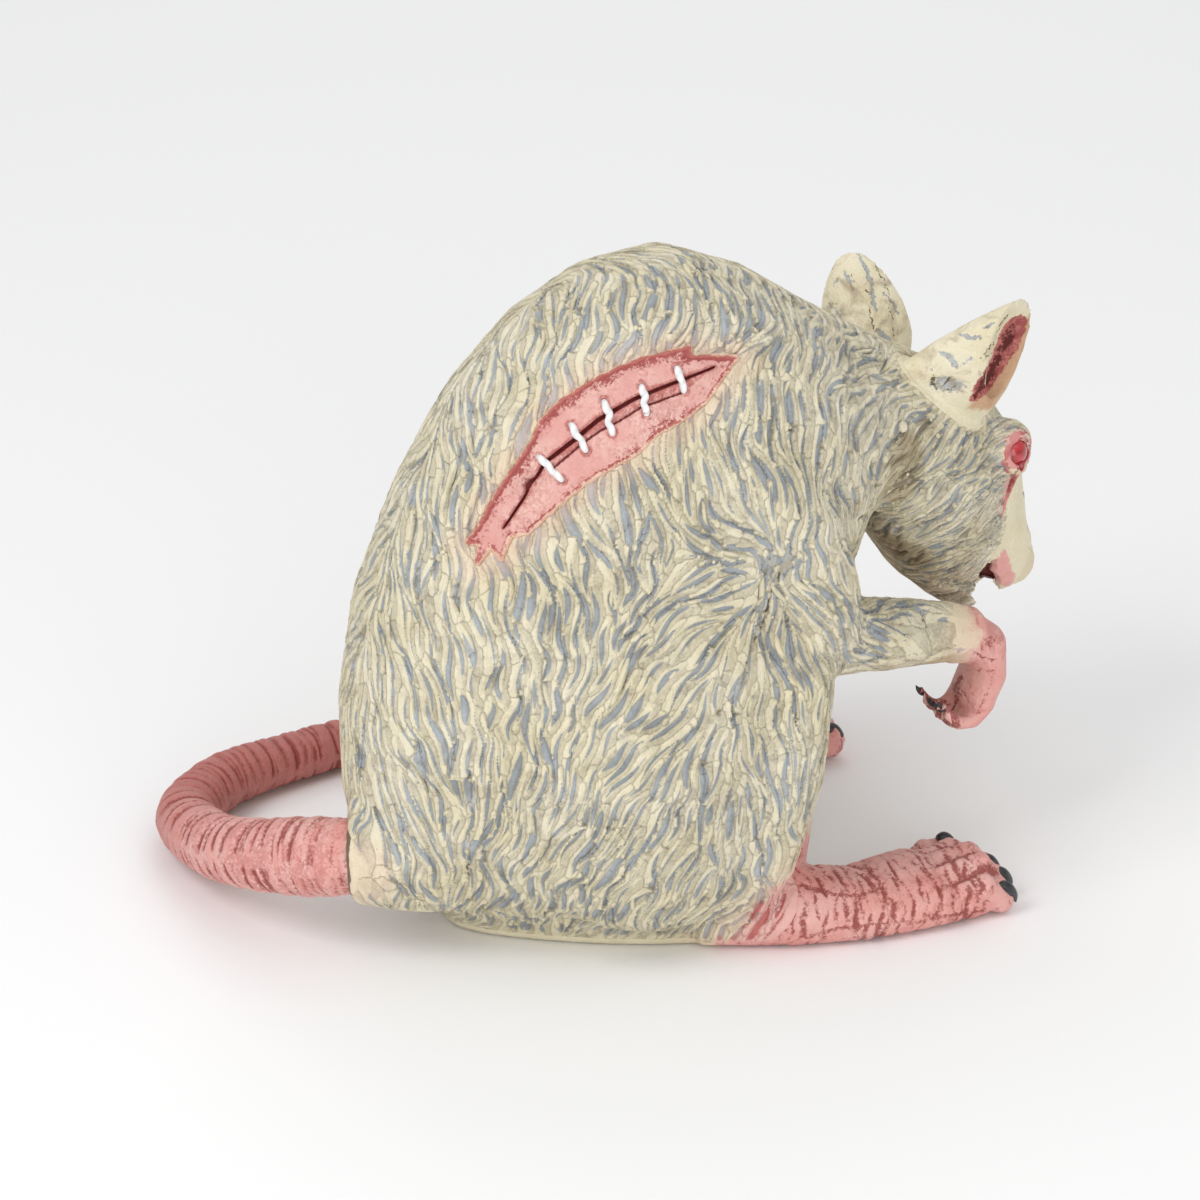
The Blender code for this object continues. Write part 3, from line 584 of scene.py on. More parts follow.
eyes = dict(place=(100, 5, 102.5), spread=15.5, radius=4.4, facing=(0.42, 0.86, 0.30), lidReach=7.8)
eyeCentres = [np.array(eyes["place"], float) + (0, side * eyes["spread"], 0) for side in (-1, 1)]
ears = dict(
    right=dict(root=(79, -8.5, 122), tip=(99, -15.5, 147.5), low=(90, -17.5, 120.5),
               facing=(0.42, -0.86, -0.28)),
    left=dict(root=(74, 16.5, 119.5), tip=(75.5, 31.5, 146.5), facing=(0.50, 0.80, -0.30)),
)


def spots(place, rows):
    # the most that any row (centre, radii, strength) gives at each place
    found = np.zeros(len(place))
    for centre, radius, strength in rows:
        found = np.maximum(found, strength * near(place, centre, radius, 0.6))
    return found


def eyeMask(place, reach):
    # 1 round both eyes
    return spots(place, [(centre, reach, 1) for centre in eyeCentres])


def handSide(place):
    # the left hand laid over the right one
    left = place[:, 1] > 0
    return np.stack([place[:, 0] + 10 * left, np.where(left, 13 - place[:, 1], place[:, 1]), place[:, 2]], 1)


def footSide(place):
    # the left foot, which stands ahead and turned out, laid over the right one
    side = mirrored(place)
    side[:, 0] -= np.where(place[:, 1] > 0, 2.5 + 0.35 * (side[:, 1] + 31.5), 0)
    return side


def ankleTop(y):
    # how high the bare skin of the foot reaches, falling towards the inner side of the leg
    return 9 + 13 * np.clip((-24 - y) / 9, 0, 1)


def pinkFoot(place):
    x, y, z = mirrored(place).T
    edge = x - (z - 2) * 0.62 + 2.2 * ripple(place, 9, 4)
    top = ankleTop(y) + 1.5 * ripple(place, 7, 44)
    return step(-5, 7, edge) * (1 - step(top - 2, top + 3, z)) * step(-20, -27, y)


def pinkHand(place):
    x, y, z = handSide(place).T
    hand = step(72, 84, x - (z - 62) * 0.25 + 2.0 * ripple(place, 8, 9)) * (1 - step(70, 73, z))
    hand = np.maximum(hand, 1 - step(53, 60, z)) * step(34, 36, z) * (1 - step(91, 93, x))
    return hand * (x > 60) * (y < -15)


def bareMask(place):
    # 1 on the hands and the front of the feet, where there is no coat
    x, y, z = mirrored(place).T
    reach, across, _ = handSide(place).T
    hand = step(66, 76, reach) * (1 - step(72, 75, z)) * step(33, 35, z) * (1 - step(91, 93, x))
    hand = hand * step(-15, -17, across)
    top = ankleTop(y)
    foot = step(5, 17, x - (z - 4) * 0.6) * (1 - step(top - 2, top + 5, z)) * step(-22, -26, y)
    return np.clip(np.maximum(hand, foot), 0, 1)


# places in the photograph's pixels from its corner, drawn on the side that it shows
outlines = dict(
    mouth=(
        (995.5, 560), (987, 566), (981, 575), (973, 591), (970, 600), (980, 603), (992, 596), (998, 588),
        (999, 580), (994.5, 573),
    ),
    lip=(
        (995, 560), (1003, 549), (1009, 553), (1010, 564), (1016, 577), (1010, 586), (1001, 586),
        (993.5, 572),
    ),
    muzzle=(
        (1012, 468), (1009, 500), (1006, 530), (1001, 545), (994, 556), (988, 566), (1000, 600),
        (1080, 600), (1080, 468),
    ),
    bowl=(
        (970, 401), (976, 384), (989, 366), (997, 343), (1005, 327), (1013, 318), (1022, 315),
        (1029, 320), (1025, 333), (1018, 348), (1006, 365), (998, 377), (989, 390), (978, 402),
    ),
)
strokes = dict(  # each stroke of paint has a half width, a strength and a route
    bowl=(
        (4.5, 1.0, ((975, 398), (984, 385), (993, 370), (1000, 356))),
        (5.0, 0.8, ((1004, 350), (1010, 338), (1013, 328))),
        (2.0, 0.7, ((990, 372), (1001, 346), (1008, 330))),
    ),
    earLines=(
        (0.8, 1.0, ((1010, 315), (1003, 323), (997, 333))),
        (0.8, 1.0, ((995, 342), (988, 351), (981, 360))),
        (0.7, 0.9, ((993, 350), (987, 358), (983, 364))),
        (0.7, 0.7, ((1018, 316), (1012, 324), (1006, 331))),
    ),
    earSlate=(
        (2.2, 1.0, ((960, 334), (970, 338), (981, 337))), (2.0, 0.9, ((985, 327), (996, 321))),
        (1.5, 0.6, ((975, 313), (990, 308))), (3.5, 0.8, ((940, 352), (951, 358), (957, 368))),
        (2.2, 0.7, ((960, 366), (972, 358))), (1.6, 0.6, ((926, 373), (938, 366))),
    ),
    earBackSlate=(
        (2.6, 1.0, ((859, 254), (866, 268), (872, 284), (874, 300))),
        (2.2, 0.9, ((843, 270), (849, 280), (854, 290))), (2.6, 0.9, ((872, 296), (877, 310))),
        (4.2, 1.0, ((878, 330), (886, 338), (895, 346))),
        (2.0, 0.8, ((884, 292), (895, 304), (899, 314))),
        (3.0, 0.9, ((846, 330), (856, 338), (863, 343))),
        (2.0, 0.6, ((828, 303), (836, 312), (842, 322))), (2.0, 0.7, ((832, 285), (838, 278))),
        (1.6, 0.6, ((862, 244), (872, 252), (880, 262))),
    ),
    earBackLines=(
        (1.3, 1.0, ((866, 288), (869, 294))), (1.2, 1.0, ((870, 306), (873, 322), (875, 330))),
        (0.6, 0.9, ((874, 262), (884, 278), (893, 300))),
        (0.6, 0.8, ((886, 300), (894, 318), (900, 334))), (0.6, 0.8, ((866, 262), (868, 280))),
        (0.7, 0.7, ((850, 272), (858, 288))), (0.6, 0.7, ((826, 296), (836, 306), (846, 320))),
        (0.6, 0.7, ((822, 310), (832, 322))), (0.6, 0.8, ((893, 330), (898, 342))),
    ),
    pits=(
        (2.6, 0.8, ((934, 376), (932, 384), (936, 391))),
        (1.3, 0.9, ((941, 389), (947, 383), (951, 377))), (1.1, 0.7, ((945, 394), (955, 391))),
    ),
    face=(
        (2.2, 0.9, ((1007, 441), (1010, 436), (1018, 432), (1028, 432), (1035, 429))),
        (1.2, 0.8, ((1013, 447), (1017, 457), (1020, 466))),
        (1.7, 1.0, ((1021, 462), (1019, 470), (1013, 478), (1009, 487), (1004, 499))),
        (1.1, 0.75, ((1004, 499), (1000, 508), (998, 516))), (2.2, 0.8, ((1026, 490), (1025, 496))),
        (2.6, 0.75, ((1031, 520), (1031, 530))), (1.2, 0.6, ((1013, 565),)),
        (1.0, 0.5, ((1028, 540), (1031, 552))),
    ),
    hand=(
        (6.5, 0.6, ((990, 641),)), (5.0, 0.55, ((983, 648),)),
        (1.2, 0.9, ((970, 650), (977, 654), (985, 659.5), (998, 660.5))),
        (1.0, 0.6, ((966, 669.5), (977, 669.5), (987, 671.5), (995, 671.5))),
        (1.8, 0.5, ((997.5, 663.5), (992.5, 677), (990.5, 688), (982, 702), (976, 714.5))),
        (4.5, 0.9, ((960, 675), (954.5, 686), (957, 697), (953, 708))),
        (2.0, 0.7, ((961, 690), (967, 702))), (5.0, 0.7, ((948, 703), (936, 697), (929, 694))),
        (4.5, 0.9, ((932, 711), (938, 716))), (3.5, 0.8, ((938, 690), (926, 693))),
        (1.2, 0.5, ((1000, 628), (1004, 640))),
    ),
    foot=(
        (3.4, 0.8, ((786, 882), (810, 887), (837, 894), (864, 894), (880, 887))),
        (2.6, 0.8, ((801, 940), (837, 930), (872, 924))),
        (2.4, 0.75, ((872, 924), (921, 923), (952, 916), (983, 912))),
        (2.0, 0.5, ((745, 939), (768, 939))),
    ),
    armLines=(
        (0.7, 0.9, ((890, 661), (905, 657), (929, 654))),
        (0.7, 0.8, ((897, 665), (920, 660), (945, 660))), (0.8, 0.8, ((879, 650), (880, 664))),
        (0.6, 0.8, ((895, 632), (900, 626), (906, 622))),
        (0.8, 1.0, ((923, 606), (926, 618), (928, 626))),
        (0.5, 0.7, ((882, 648), (890, 652), (900, 650))),
    ),
    armSlate=(
        (4.0, 0.9, ((898, 602), (910, 600))), (2.8, 0.8, ((906, 610), (914, 615))),
        (3.2, 1.0, ((919, 607), (925, 613))), (2.0, 0.9, ((925, 608), (941, 611))),
        (3.0, 1.0, ((897, 642), (909, 645))), (2.0, 0.8, ((907, 636), (914, 634))),
        (2.6, 1.0, ((937, 648), (946, 651))), (2.2, 0.9, ((944, 641), (957, 642))),
        (2.6, 0.9, ((955, 651), (967, 650))), (2.6, 0.9, ((870, 622), (880, 618))),
        (3.0, 0.9, ((870, 612), (878, 610))), (2.6, 0.9, ((870, 632), (878, 629))),
        (2.4, 0.9, ((870, 641), (878, 639))),
    ),
)

smoothSpots = (  # place on the right side, radii, how much of the coat is left out
    ((2, -48, 80), (9, 9, 8), 0.9), ((-4, -51, 74), (8, 8, 6), 0.9), ((-10, -54, 66), (6, 8, 6), 0.8),
    ((12, -46, 88), (7, 8, 5), 0.5), ((56, -34, 68), (17, 20, 14), 1.0),
    ((75, -30, 62), (14, 20, 16), 1.0), ((30, -43, 108), (5, 6, 7), 0.6),
    ((-30, -38, 62), (4, 5, 6), 0.4), ((-84, -9, 28), (11, 16, 14), 1.0),
    ((-12, -50, 60), (9, 9, 6), 0.5), ((-36, -41, 86), (5, 6, 5), 0.6), ((17, -44, 100), (4, 5, 4), 0.8),
    ((70, -17, 118), (7, 8, 6), 0.55), ((-20, -52, 33), (8, 8, 5), 0.5), ((60, -24, 120), (5, 6, 5), 0.5),
)
headSpots = (
    ((114, 6, 65), (14, 16, 14), 1.0), ((97, 6, 61), (8, 10, 9), 0.9), ((78, -10, 124), (9, 8, 7), 0.8),
)
umberWashAndShadeSpots = (  # where brown wash lies, and where shade is painted in brown: under the chin and the head, in the neck's fold and under the ears
    ((84, -3, 61), (16, 16, 9), 0.75), ((61, -24, 112), (12, 12, 17), 0.85),
    ((86, -15, 86), (15, 12, 15), 0.62), ((48, -22, 92), (9, 14, 12), 0.6),
    ((66, -14, 80), (12, 14, 10), 0.8), ((90, -16, 106), (12, 10, 9), 0.35),
    ((72, -8, 82), (12, 14, 12), 0.9), ((73, -18, 92), (9, 9, 14), 0.5),
    ((60, -20, 82), (10, 10, 10), 0.7), ((66, -34, 60), (18, 9, 4.5), 0.8),
    ((46, -30, 68), (9, 10, 10), 0.6), ((71, -24, 121), (7, 9, 6), 0.7), ((52, -30, 106), (4, 8, 9), 0.4),
    ((-60, -34, 30), (10, 8, 22), 0.3), ((20, -50, 20), (10, 9, 9), 0.45), ((92, -8, 60), (8, 6, 5), 0.5),
)
slateSpots = (  # bare patches of the slate ground coat
    ((78, -17, 126.5), (6, 6, 4), 1), ((60.4, -24, 123), (4, 5, 3), 0.9),
    ((61.5, -24.5, 108), (5, 5, 4), 1), ((60.5, -35.5, 76.5), (2.6, 4, 2.8), 1),
    ((53.5, -40, 72), (2.2, 4, 1.8), 1), ((69, -36.3, 66.5), (6, 4, 1.7), 0.9),
    ((17, -45, 105), (7, 5, 3.2), 0.9), ((70, -6, 120), (4, 4, 3), 0.8), ((-4, -44, 110), (9, 5, 2), 0.5),
    ((84, -16, 117), (4, 4, 2), 0.7),
)
cracks = (  # width and line of each parting: along the shoulder and haunch, the shoulder's crease, on the rump
    (0.55, (
        (32, -43.1, 113), (22.6, -47.2, 110.2), (17.1, -45.1, 105.9), (15.3, -43.5, 99.3),
        (11.2, -44.7, 89.8), (5.9, -47.1, 82.5), (0.7, -50.6, 77.2), (-5.8, -52.7, 72.9),
        (-11.5, -54.1, 67.5),
    )),
    (0.8, (
        (57.4, -25.6, 108.5), (48.8, -28.5, 104), (38, -40, 106), (33.7, -43.8, 106.1),
        (27.6, -47.4, 102.3), (24, -46.6, 96.7),
    )),
    (0.5, (
        (-61.8, -32.4, 54.7), (-64, -31, 46), (-62.6, -29.7, 38.1), (-61, -26, 28), (-58.4, -21.7, 17.2),
    )),
)


def crackDepth(place):
    side = mirrored(place)
    found = np.zeros(len(place))
    for width, line in cracks:
        far, along = fromLine(side, line)
        far = far + 0.35 * ripple(side, 3.2, 6)
        fade = np.sin(math.pi * np.clip(along, 0.04, 0.96)) ** 0.4
        found = np.maximum(found, np.exp(-(np.maximum(far, 0) / width) ** 2) * fade)
    return found


def coatCover(place):
    # 1 where the coat is full, 0 where the cast is smooth
    side, face = mirrored(place), headSide(place)
    cover = np.ones(len(place))
    for centre, radius, share in smoothSpots:
        cover = cover * (1 - share * near(side, centre, radius, 0.5))
    for centre, radius, share in headSpots:
        cover = cover * (1 - share * near(face, centre, radius, 0.5))
    cover = cover * (1 - 0.35 * step(0.35, 0.9, ripple(place, 22, 12)))
    return cover * step(2.2, 6.5, side[:, 2])


def bridge(place):
    # 1 along the bridge of the muzzle, narrowing down to the nose
    wide = np.clip((place[:, 2] - 63) * 0.42, 0, 10) + 0.8 * ripple(place, 5, 71)
    return (1 - step(-1.5, 1.5, np.abs(place[:, 1] - 6.5) - wide)) * step(66, 70, place[:, 2])


def shellCover(place, wound, ear):
    # 1 where the raised coat lies over the skin
    side = mirrored(place)
    cover = step(0.8, 3.2, side[:, 2]) * step(0.3, 4.0, ear)
    cover = cover * (1 - eyeMask(place, 7.6)) * step(0.3, 1.6, wound)
    face = pixels(headSide(place))
    front = (place[:, 0] > 84) * (np.abs(place[:, 1] - 6) < 22)
    muzzle = within(face, outlines["muzzle"], 8) * front * (1 - bridge(place))
    cover = cover * (1 - bareMask(place)) * (1 - muzzle)
    for name in ("mouth", "lip"):
        cover = cover * (1 - within(face, outlines[name], 3) * front)
    return cover * (1 - near(place, (-86, -4, 27.5), (8, 14, 14), 0.6))


bodyWound = fromWound(bodyPlace)
bodyEar = np.minimum(fromNode("ear_right", bodyPlace, 7.0), fromNode("ear_left", bodyPlace, 7.0))
bodyShell = shellCover(bodyPlace, bodyWound, bodyEar)
bodyCrack = crackDepth(bodyPlace)
stage("where the coat lies")


# the skin: set in under the coat, and worked where it shows

earPaint = dict(
    wall=(0.60, 0.33, 0.18), rose=(0.58, 0.20, 0.17), bowl=(0.36, 0.08, 0.075), deep=(0.11, 0.012, 0.010),
)
footSetup = dict(seed=31, first=2, last=74, pitch=2.0, grooves=(35.0, 42.0, 49.0, 55.8))
noseSetup = dict(
    tip=(117, 6.5, 62), size=(5, 7, 6),
    nostrils=((116.4, 3.9, 62.6), (116.4, 9.3, 62.6)), nostril=(2.6, 1.1, 1.4),
)
sunk = dict(  # how many millimetres each mark is sunk into the skin
    creases=0.60, grooves=0.55, foot=0.25, lines=0.35, patch=0.25, deep=0.5, face=0.25, mouth=2.6, hand=0.25,
    hollow=1.1, pits=0.4, nostril=0.9,
)
raised = dict(bowl=0.22, lip=0.35)


def unitOf(v):
    return np.array(v, float) / np.linalg.norm(v)


def earAxes(ear, hand):
    # an ear's root, its length, and its own directions as rows
    root, tip = np.array(ear["root"], float), np.array(ear["tip"], float)
    axis = unitOf(tip - root)
    facing = unitOf(ear["facing"] - axis * (unitOf(ear["facing"]) @ axis))
    return root, np.linalg.norm(tip - root), np.stack([axis, facing, np.cross(axis, facing) * hand])


def earTwin(place, out):
    # the left ear's places and directions laid over the right ear's
    root, length, axes = earAxes(ears["right"], 1)
    otherRoot, otherLength, otherAxes = earAxes(ears["left"], -1)
    left = (place[:, 1] > 5)[:, None]
    twin = root + ((place - otherRoot) @ otherAxes.T * (length / otherLength)) @ axes
    return np.where(left, twin, place), np.where(left, (out @ otherAxes.T) @ axes, out)


def earInside(place, out):
    # 1 on the faces inside the right ear's funnel, and how far they lie from its root to its rim
    ear = ears["right"]
    root, rim = np.array(ear["root"], float), (np.array(ear["tip"]) + np.array(ear["low"])) / 2
    facing = unitOf(np.array(ear["facing"], float))
    way = (place - root) @ facing / ((rim - root) @ facing)
    spoke = place - (root + (rim - root) * way[:, None])
    length = np.linalg.norm(spoke, axis=1)
    inward = -(out * spoke).sum(1) / np.maximum(length, 0.01)
    inside = np.maximum(step(-0.10, 0.15, inward), (length < 4) * step(0.2, 0.5, out @ facing))
    return inside * step(0.42, 0.50, way) * (1 - step(1.03, 1.08, way)) * (length < 15), way


def earForm(place, out):
    # the bowl, its dark depths, its peach wall, the brown lines and the slate of each ear
    twin, twinOut = earTwin(place, out)
    spot = pixels(twin)
    facing = step(-0.05, 0.20, twinOut @ np.array(viewBack))
    bowl = within(spot, outlines["bowl"], 2.0) * facing
    deep = brushed(spot, strokes["bowl"]) * facing
    hidden, way = earInside(twin, twinOut)
    hidden = hidden * (1 - facing)
    bowl = np.maximum(bowl, hidden * (1 - step(0.93, 0.99, way)))
    deep = np.maximum(deep, hidden * (1 - step(0.62, 0.86, way)))
    across = (spot[:, 0] - 971) * 0.834 + (spot[:, 1] - 400) * 0.552
    wall = step(0, 5, across) * (1 - step(20, 30, across)) * facing * (spot[:, 1] < 410)
    left = place[:, 1] > 5
    behind = left * step(-0.05, 0.2, out @ np.array(viewBack))  # the left ear's back
    own = pixels(place)
    marks = []
    for name in ("Lines", "Slate"):
        front = brushed(spot, strokes["ear" + name]) * facing
        back = brushed(own, strokes["earBack" + name]) * behind
        marks.append(np.clip(np.where(left, back + front * (behind < 0.5), front), 0, 1))
    return bowl, deep, wall, *marks


def footCreases(place):
    # cross wrinkles round each foot, and the grooves between the toes
    setup = footSetup
    rng = np.random.default_rng(setup["seed"])
    x, y, z = footSide(place).T
    at, crease = setup["first"], np.zeros(len(place))
    while at < setup["last"]:
        phase, lean = rng.uniform(0, 6.28, 2)
        bend = at + (z - 8) * 0.20 + 0.9 * np.sin(y * 0.24 + phase) + 0.5 * np.sin(z * 0.7 + lean)
        depth = rng.uniform(0.45, 1.0) * np.clip(0.72 + 0.50 * np.sin(y * 0.35 + z * 0.42 + lean), 0, 1)
        crease = np.maximum(crease, depth * np.exp(-((x - bend) / rng.uniform(0.45, 0.95)) ** 2))
        at += setup["pitch"] * rng.uniform(0.6, 1.6)
    crease = crease * step(setup["first"] - 4, setup["first"] + 16, x) * (1 - 0.5 * step(66, 70, x))
    toes = np.zeros(len(place))
    for spread in setup["grooves"]:
        middle = -spread + (74 - x) * 0.10 * np.sign(45.5 - spread)
        toes = np.maximum(toes, np.exp(-((y - middle) / 1.0) ** 2) * step(50, 62, x) * step(7, 10, z))
    return crease, toes


def armMarks(place):
    # the few patches of slate and the brown lines on the smooth forearms
    spot, out = pixels(mirrored(place)), (np.abs(place[:, 1]) > 18) * (place[:, 0] > 34) * (place[:, 2] > 50)
    return brushed(spot, strokes["armSlate"]) * out, brushed(spot, strokes["armLines"]) * out


def makeSkin():
    place, out = bodyPlace, bodyOut
    # ears
    ear = 1 - step(0.6, 3.2, bodyEar)
    bowl, deep, wall, lines, patch = (part * ear for part in earForm(place, out))
    hollow = near(place, (77.7, -16.5, 127.5), (6.5, 7, 4.2), 0.6) * (0.75 + 0.35 * ripple(place, 3.2, 35))
    rough = ripple(place, 2.4, 33) * bowl
    # face
    head = headSide(place)
    face, front = pixels(head), (place[:, 0] > 84) * (np.abs(place[:, 1] - 6) < 24)
    mouth, lip = within(face, outlines["mouth"], 1.2) * front, within(face, outlines["lip"], 2.5) * front
    marks = brushed(face, strokes["face"]) * front * (head[:, 1] < -2.5)
    pits = brushed(face, strokes["pits"]) * (place[:, 0] > 64)
    nostril = np.max([near(place, spot, noseSetup["nostril"]) for spot in noseSetup["nostrils"]], axis=0)
    nose = near(place, noseSetup["tip"], noseSetup["size"], 0.8)
    lids = eyeMask(place, eyes["lidReach"])
    # limbs and the collar of the tail
    foot, hand = pinkFoot(place), pinkHand(place)
    footOnly = foot * (1 - hand)
    creases, grooves = (part * footOnly for part in footCreases(place))
    band = brushed(pixels(footSide(place)), strokes["foot"]) * footOnly
    handPlace = handSide(place)
    palm = brushed(pixels(handPlace), strokes["hand"]) * hand * (1 - foot)
    tips = hand * (1 - foot) * (1 - step(72, 76, handPlace[:, 0])) * (1 - step(50, 56, place[:, 2]))
    armPatch, armLines = armMarks(place)
    collar = (1 - step(0.5, 1.3, fromNode("tail_1", place))) * (place[:, 0] < -70)

    under = np.maximum(step(0.25, 0.8, bodyShell), 1 - step(1.2, 2.6, bodyWound))
    lift = -skinSetup["swell"] - skinSetup["coatDepth"] * under
    lift = lift - sunk["creases"] * creases - sunk["grooves"] * grooves - sunk["foot"] * band
    lift = lift - sunk["lines"] * lines - sunk["patch"] * patch + raised["bowl"] * rough - sunk["deep"] * deep
    lift = lift - sunk["face"] * marks * (1 - bodyShell) - sunk["mouth"] * mouth
    lift = lift + raised["lip"] * lip * (1 - mouth) - sunk["hand"] * palm
    lift = lift - sunk["hollow"] * hollow - sunk["pits"] * pits - sunk["nostril"] * nostril
    # brown wash and painted shade under the head and on the neck, and some on the left ear
    umber = np.maximum(spots(head, umberWashAndShadeSpots), 0.6 * near(place, (75, 27, 133), (9, 9, 16), 0.7))
    washes = [creases ** 0.7, grooves, 0.9 * band, 0.85 * palm, 0.75 * tips, marks]
    values = dict(
        pink=np.clip(np.maximum.reduce([foot, hand, 0.35 * nose, 0.9 * lip, lids, mouth]), 0, 1),
        wash=np.clip(np.maximum.reduce(washes), 0, 1),
        blush=paintBlush(place), cover=bodyShell, ear=ear, bowl=bowl, deep=deep, wall=wall,
        lines=np.clip(lines + armLines + collar + pits, 0, 1),
        slate=np.clip(1.25 * patch + armPatch + hollow, 0, 1),
        mouth=np.maximum(mouth, nostril), raw=1 - step(-0.9, -0.2, bodyWound), umber=umber,
    )
    setPoints(body.data, place + out * lift[:, None])
    for name, layer in values.items():
        setValue(body.data, name, layer)
    if len(place) > skinSetup["vertices"]:
        thinner = body.modifiers.new("thinner", "DECIMATE")
        thinner.ratio = skinSetup["vertices"] / len(place)
    mesh = evaluated(body)
    mesh.name = "skin"
    return mesh


def paintBlush(place):
    # where peach paint shades the cream
    side = mirrored(place)
    x, y, z = side.T
    wound = np.abs(fromWound(place))
    ankle = step(-12, 8, x - (z - 4) * 0.6) * (1 - step(22, 34, z)) * step(-22, -25, y)
    reach = np.where(place[:, 1] > 0, place[:, 0] + 10, place[:, 0])
    wrist = step(62, 80, reach) * (1 - step(68, 76, z)) * step(50, 54, z)
    wrist = wrist * (np.abs(place[:, 1]) > 15) * (x > 45)
    return np.clip(np.maximum.reduce([
        0.75 * (1 - step(1.0, 9, wound)), ankle, 0.55 * near(side, (-84, -12, 27), (12, 14, 14), 0.6), wrist,
        0.45 * eyeMask(place, 10), 0.55 * near(place, (113, 6, 66), (13, 16, 15), 0.8),
    ]), 0, 1)


skin = makeSkin()
skinPlace = points(skin)
skinTree = BVHTree.FromPolygons([Vector(p) for p in skinPlace], [list(f.vertices) for f in skin.polygons])
stage(f"skin of {len(skin.vertices)} points and {len(skin.polygons)} faces")


def onSkin(place):
    # nearest places on the skin, with the skin's direction there
    found = [skinTree.find_nearest(Vector(p)) for p in place]
    return np.array([f[0] for f in found]), np.array([f[1] for f in found])


skinFinish = Finish("paintedSkin", Specular_IOR_Level=0.35)
f = skinFinish
pinkPaint, washPaint, blushPaint, umberWashAndShade, slatePaint = f.attributes("pink wash blush umber slate")
cover, earPart, bowl, deep, wall, mouth, lines, raw = f.attributes("cover ear bowl deep wall mouth lines raw")
speckle, broad, grain = f.noise(420.0, 4.0), f.noise(70.0, 3.0), f.noise(1900.0, 2.0)
blotch, fleck, grit = f.noise(150.0, 4.0, warp=0.8), f.noise(900.0, 3.0), f.grit()
cream, slate = groundPaints(f, broad, speckle.span(0.60, 0.80) * 0.25, fleck.span(0.55, 0.70) * 0.6)
slate = f.blend((grit + blotch.sway(1.5)).span(0.66, 0.86) * 0.55, slate, paint["umber"])
worn = (slatePaint + grit.sway(0.55) + blotch.sway(0.6)).span(0.42, 0.62)
ground = f.blend((worn + blotch.span(0.60, 0.70) * earPart * 0.5).clamp() * 0.9, cream, slate)
ground = f.blend((cover + broad.sway(0.9)).span(0.55, 0.8) * 0.7, ground, slate)
# brown wash and painted shade where the umber spots lie
ground = f.blend((umberWashAndShade + blotch.sway(0.6)).span(0.25, 0.9) * 0.6, ground, paint["umber"])
ground = f.blend((earPart * blotch.span(0.48, 0.66)) * 0.35, ground, paint["umber"])
ground = f.blend(blushPaint * 0.6, ground, paint["peach"])
ground = f.blend((wall + blotch.sway(0.5)).clamp() * 0.85, ground, earPaint["wall"])
ground = f.blend((fleck.span(0.70, 0.76) * (1 - pinkPaint)) * 0.7, ground, paint["brown"])
pinkTone = f.blend(broad.span(0.3, 0.72), paint["pink"], paint["palePink"])
flushed = (blotch.span(0.54, 0.72) + speckle.span(0.60, 0.74) * 0.5).clamp() * 0.55
pinkTone = f.blend(flushed, pinkTone, paint["rose"])
pinkTone = f.blend(grit.span(0.62, 0.95) * 0.2, pinkTone, paint["rose"])
washed = (washPaint * 1.15 + grit.sway(0.85) + blotch.sway(0.9)).span(0.28, 0.95) * 0.85
pinkTone = f.blend(washed, pinkTone, paint["wash"])
tone = f.blend((pinkPaint + blotch.sway(1.1) + grit.sway(0.35)).span(0.22, 0.78), ground, pinkTone)
bowlTone = f.blend((blotch * 1.4 - 0.2 + grit.sway(0.5)).span(0.30, 0.66), earPaint["rose"], earPaint["bowl"])
darkened = (deep + grit.sway(0.7) + blotch.sway(0.8)).span(0.25, 0.80) * 0.95
bowlTone = f.blend(darkened, bowlTone, earPaint["deep"])
tone = f.blend((bowl + grit.sway(0.35)).span(0.25, 0.65), tone, bowlTone)
tone = f.blend((lines + grit.sway(0.5)).span(0.40, 0.75) * 0.9, tone, paint["brown"])
tone = f.blend((washPaint + grit.sway(0.6)).span(0.30, 0.8) * (1 - pinkPaint) * 0.85, tone, paint["wash"])
tone = f.blend((mouth + speckle.sway(0.4)).span(0.35, 0.75), tone, earPaint["deep"])
tone = f.blend(raw.span(0.3, 0.7), tone, paint["blood"])
f.feed("Base Color", tone)
f.feed("Roughness", 0.48 + speckle * 0.20 - pinkPaint * 0.14 - mouth * 0.15)
f.relief(speckle + blotch * 0.6 + grit * 0.5 + grain * 0.3, 0.0004, 0.85)
addPiece("skin", skin, skinFinish, flesh)
stage("skin finish")


# the coat: grooves and raised locks that follow the lie measured on the cast

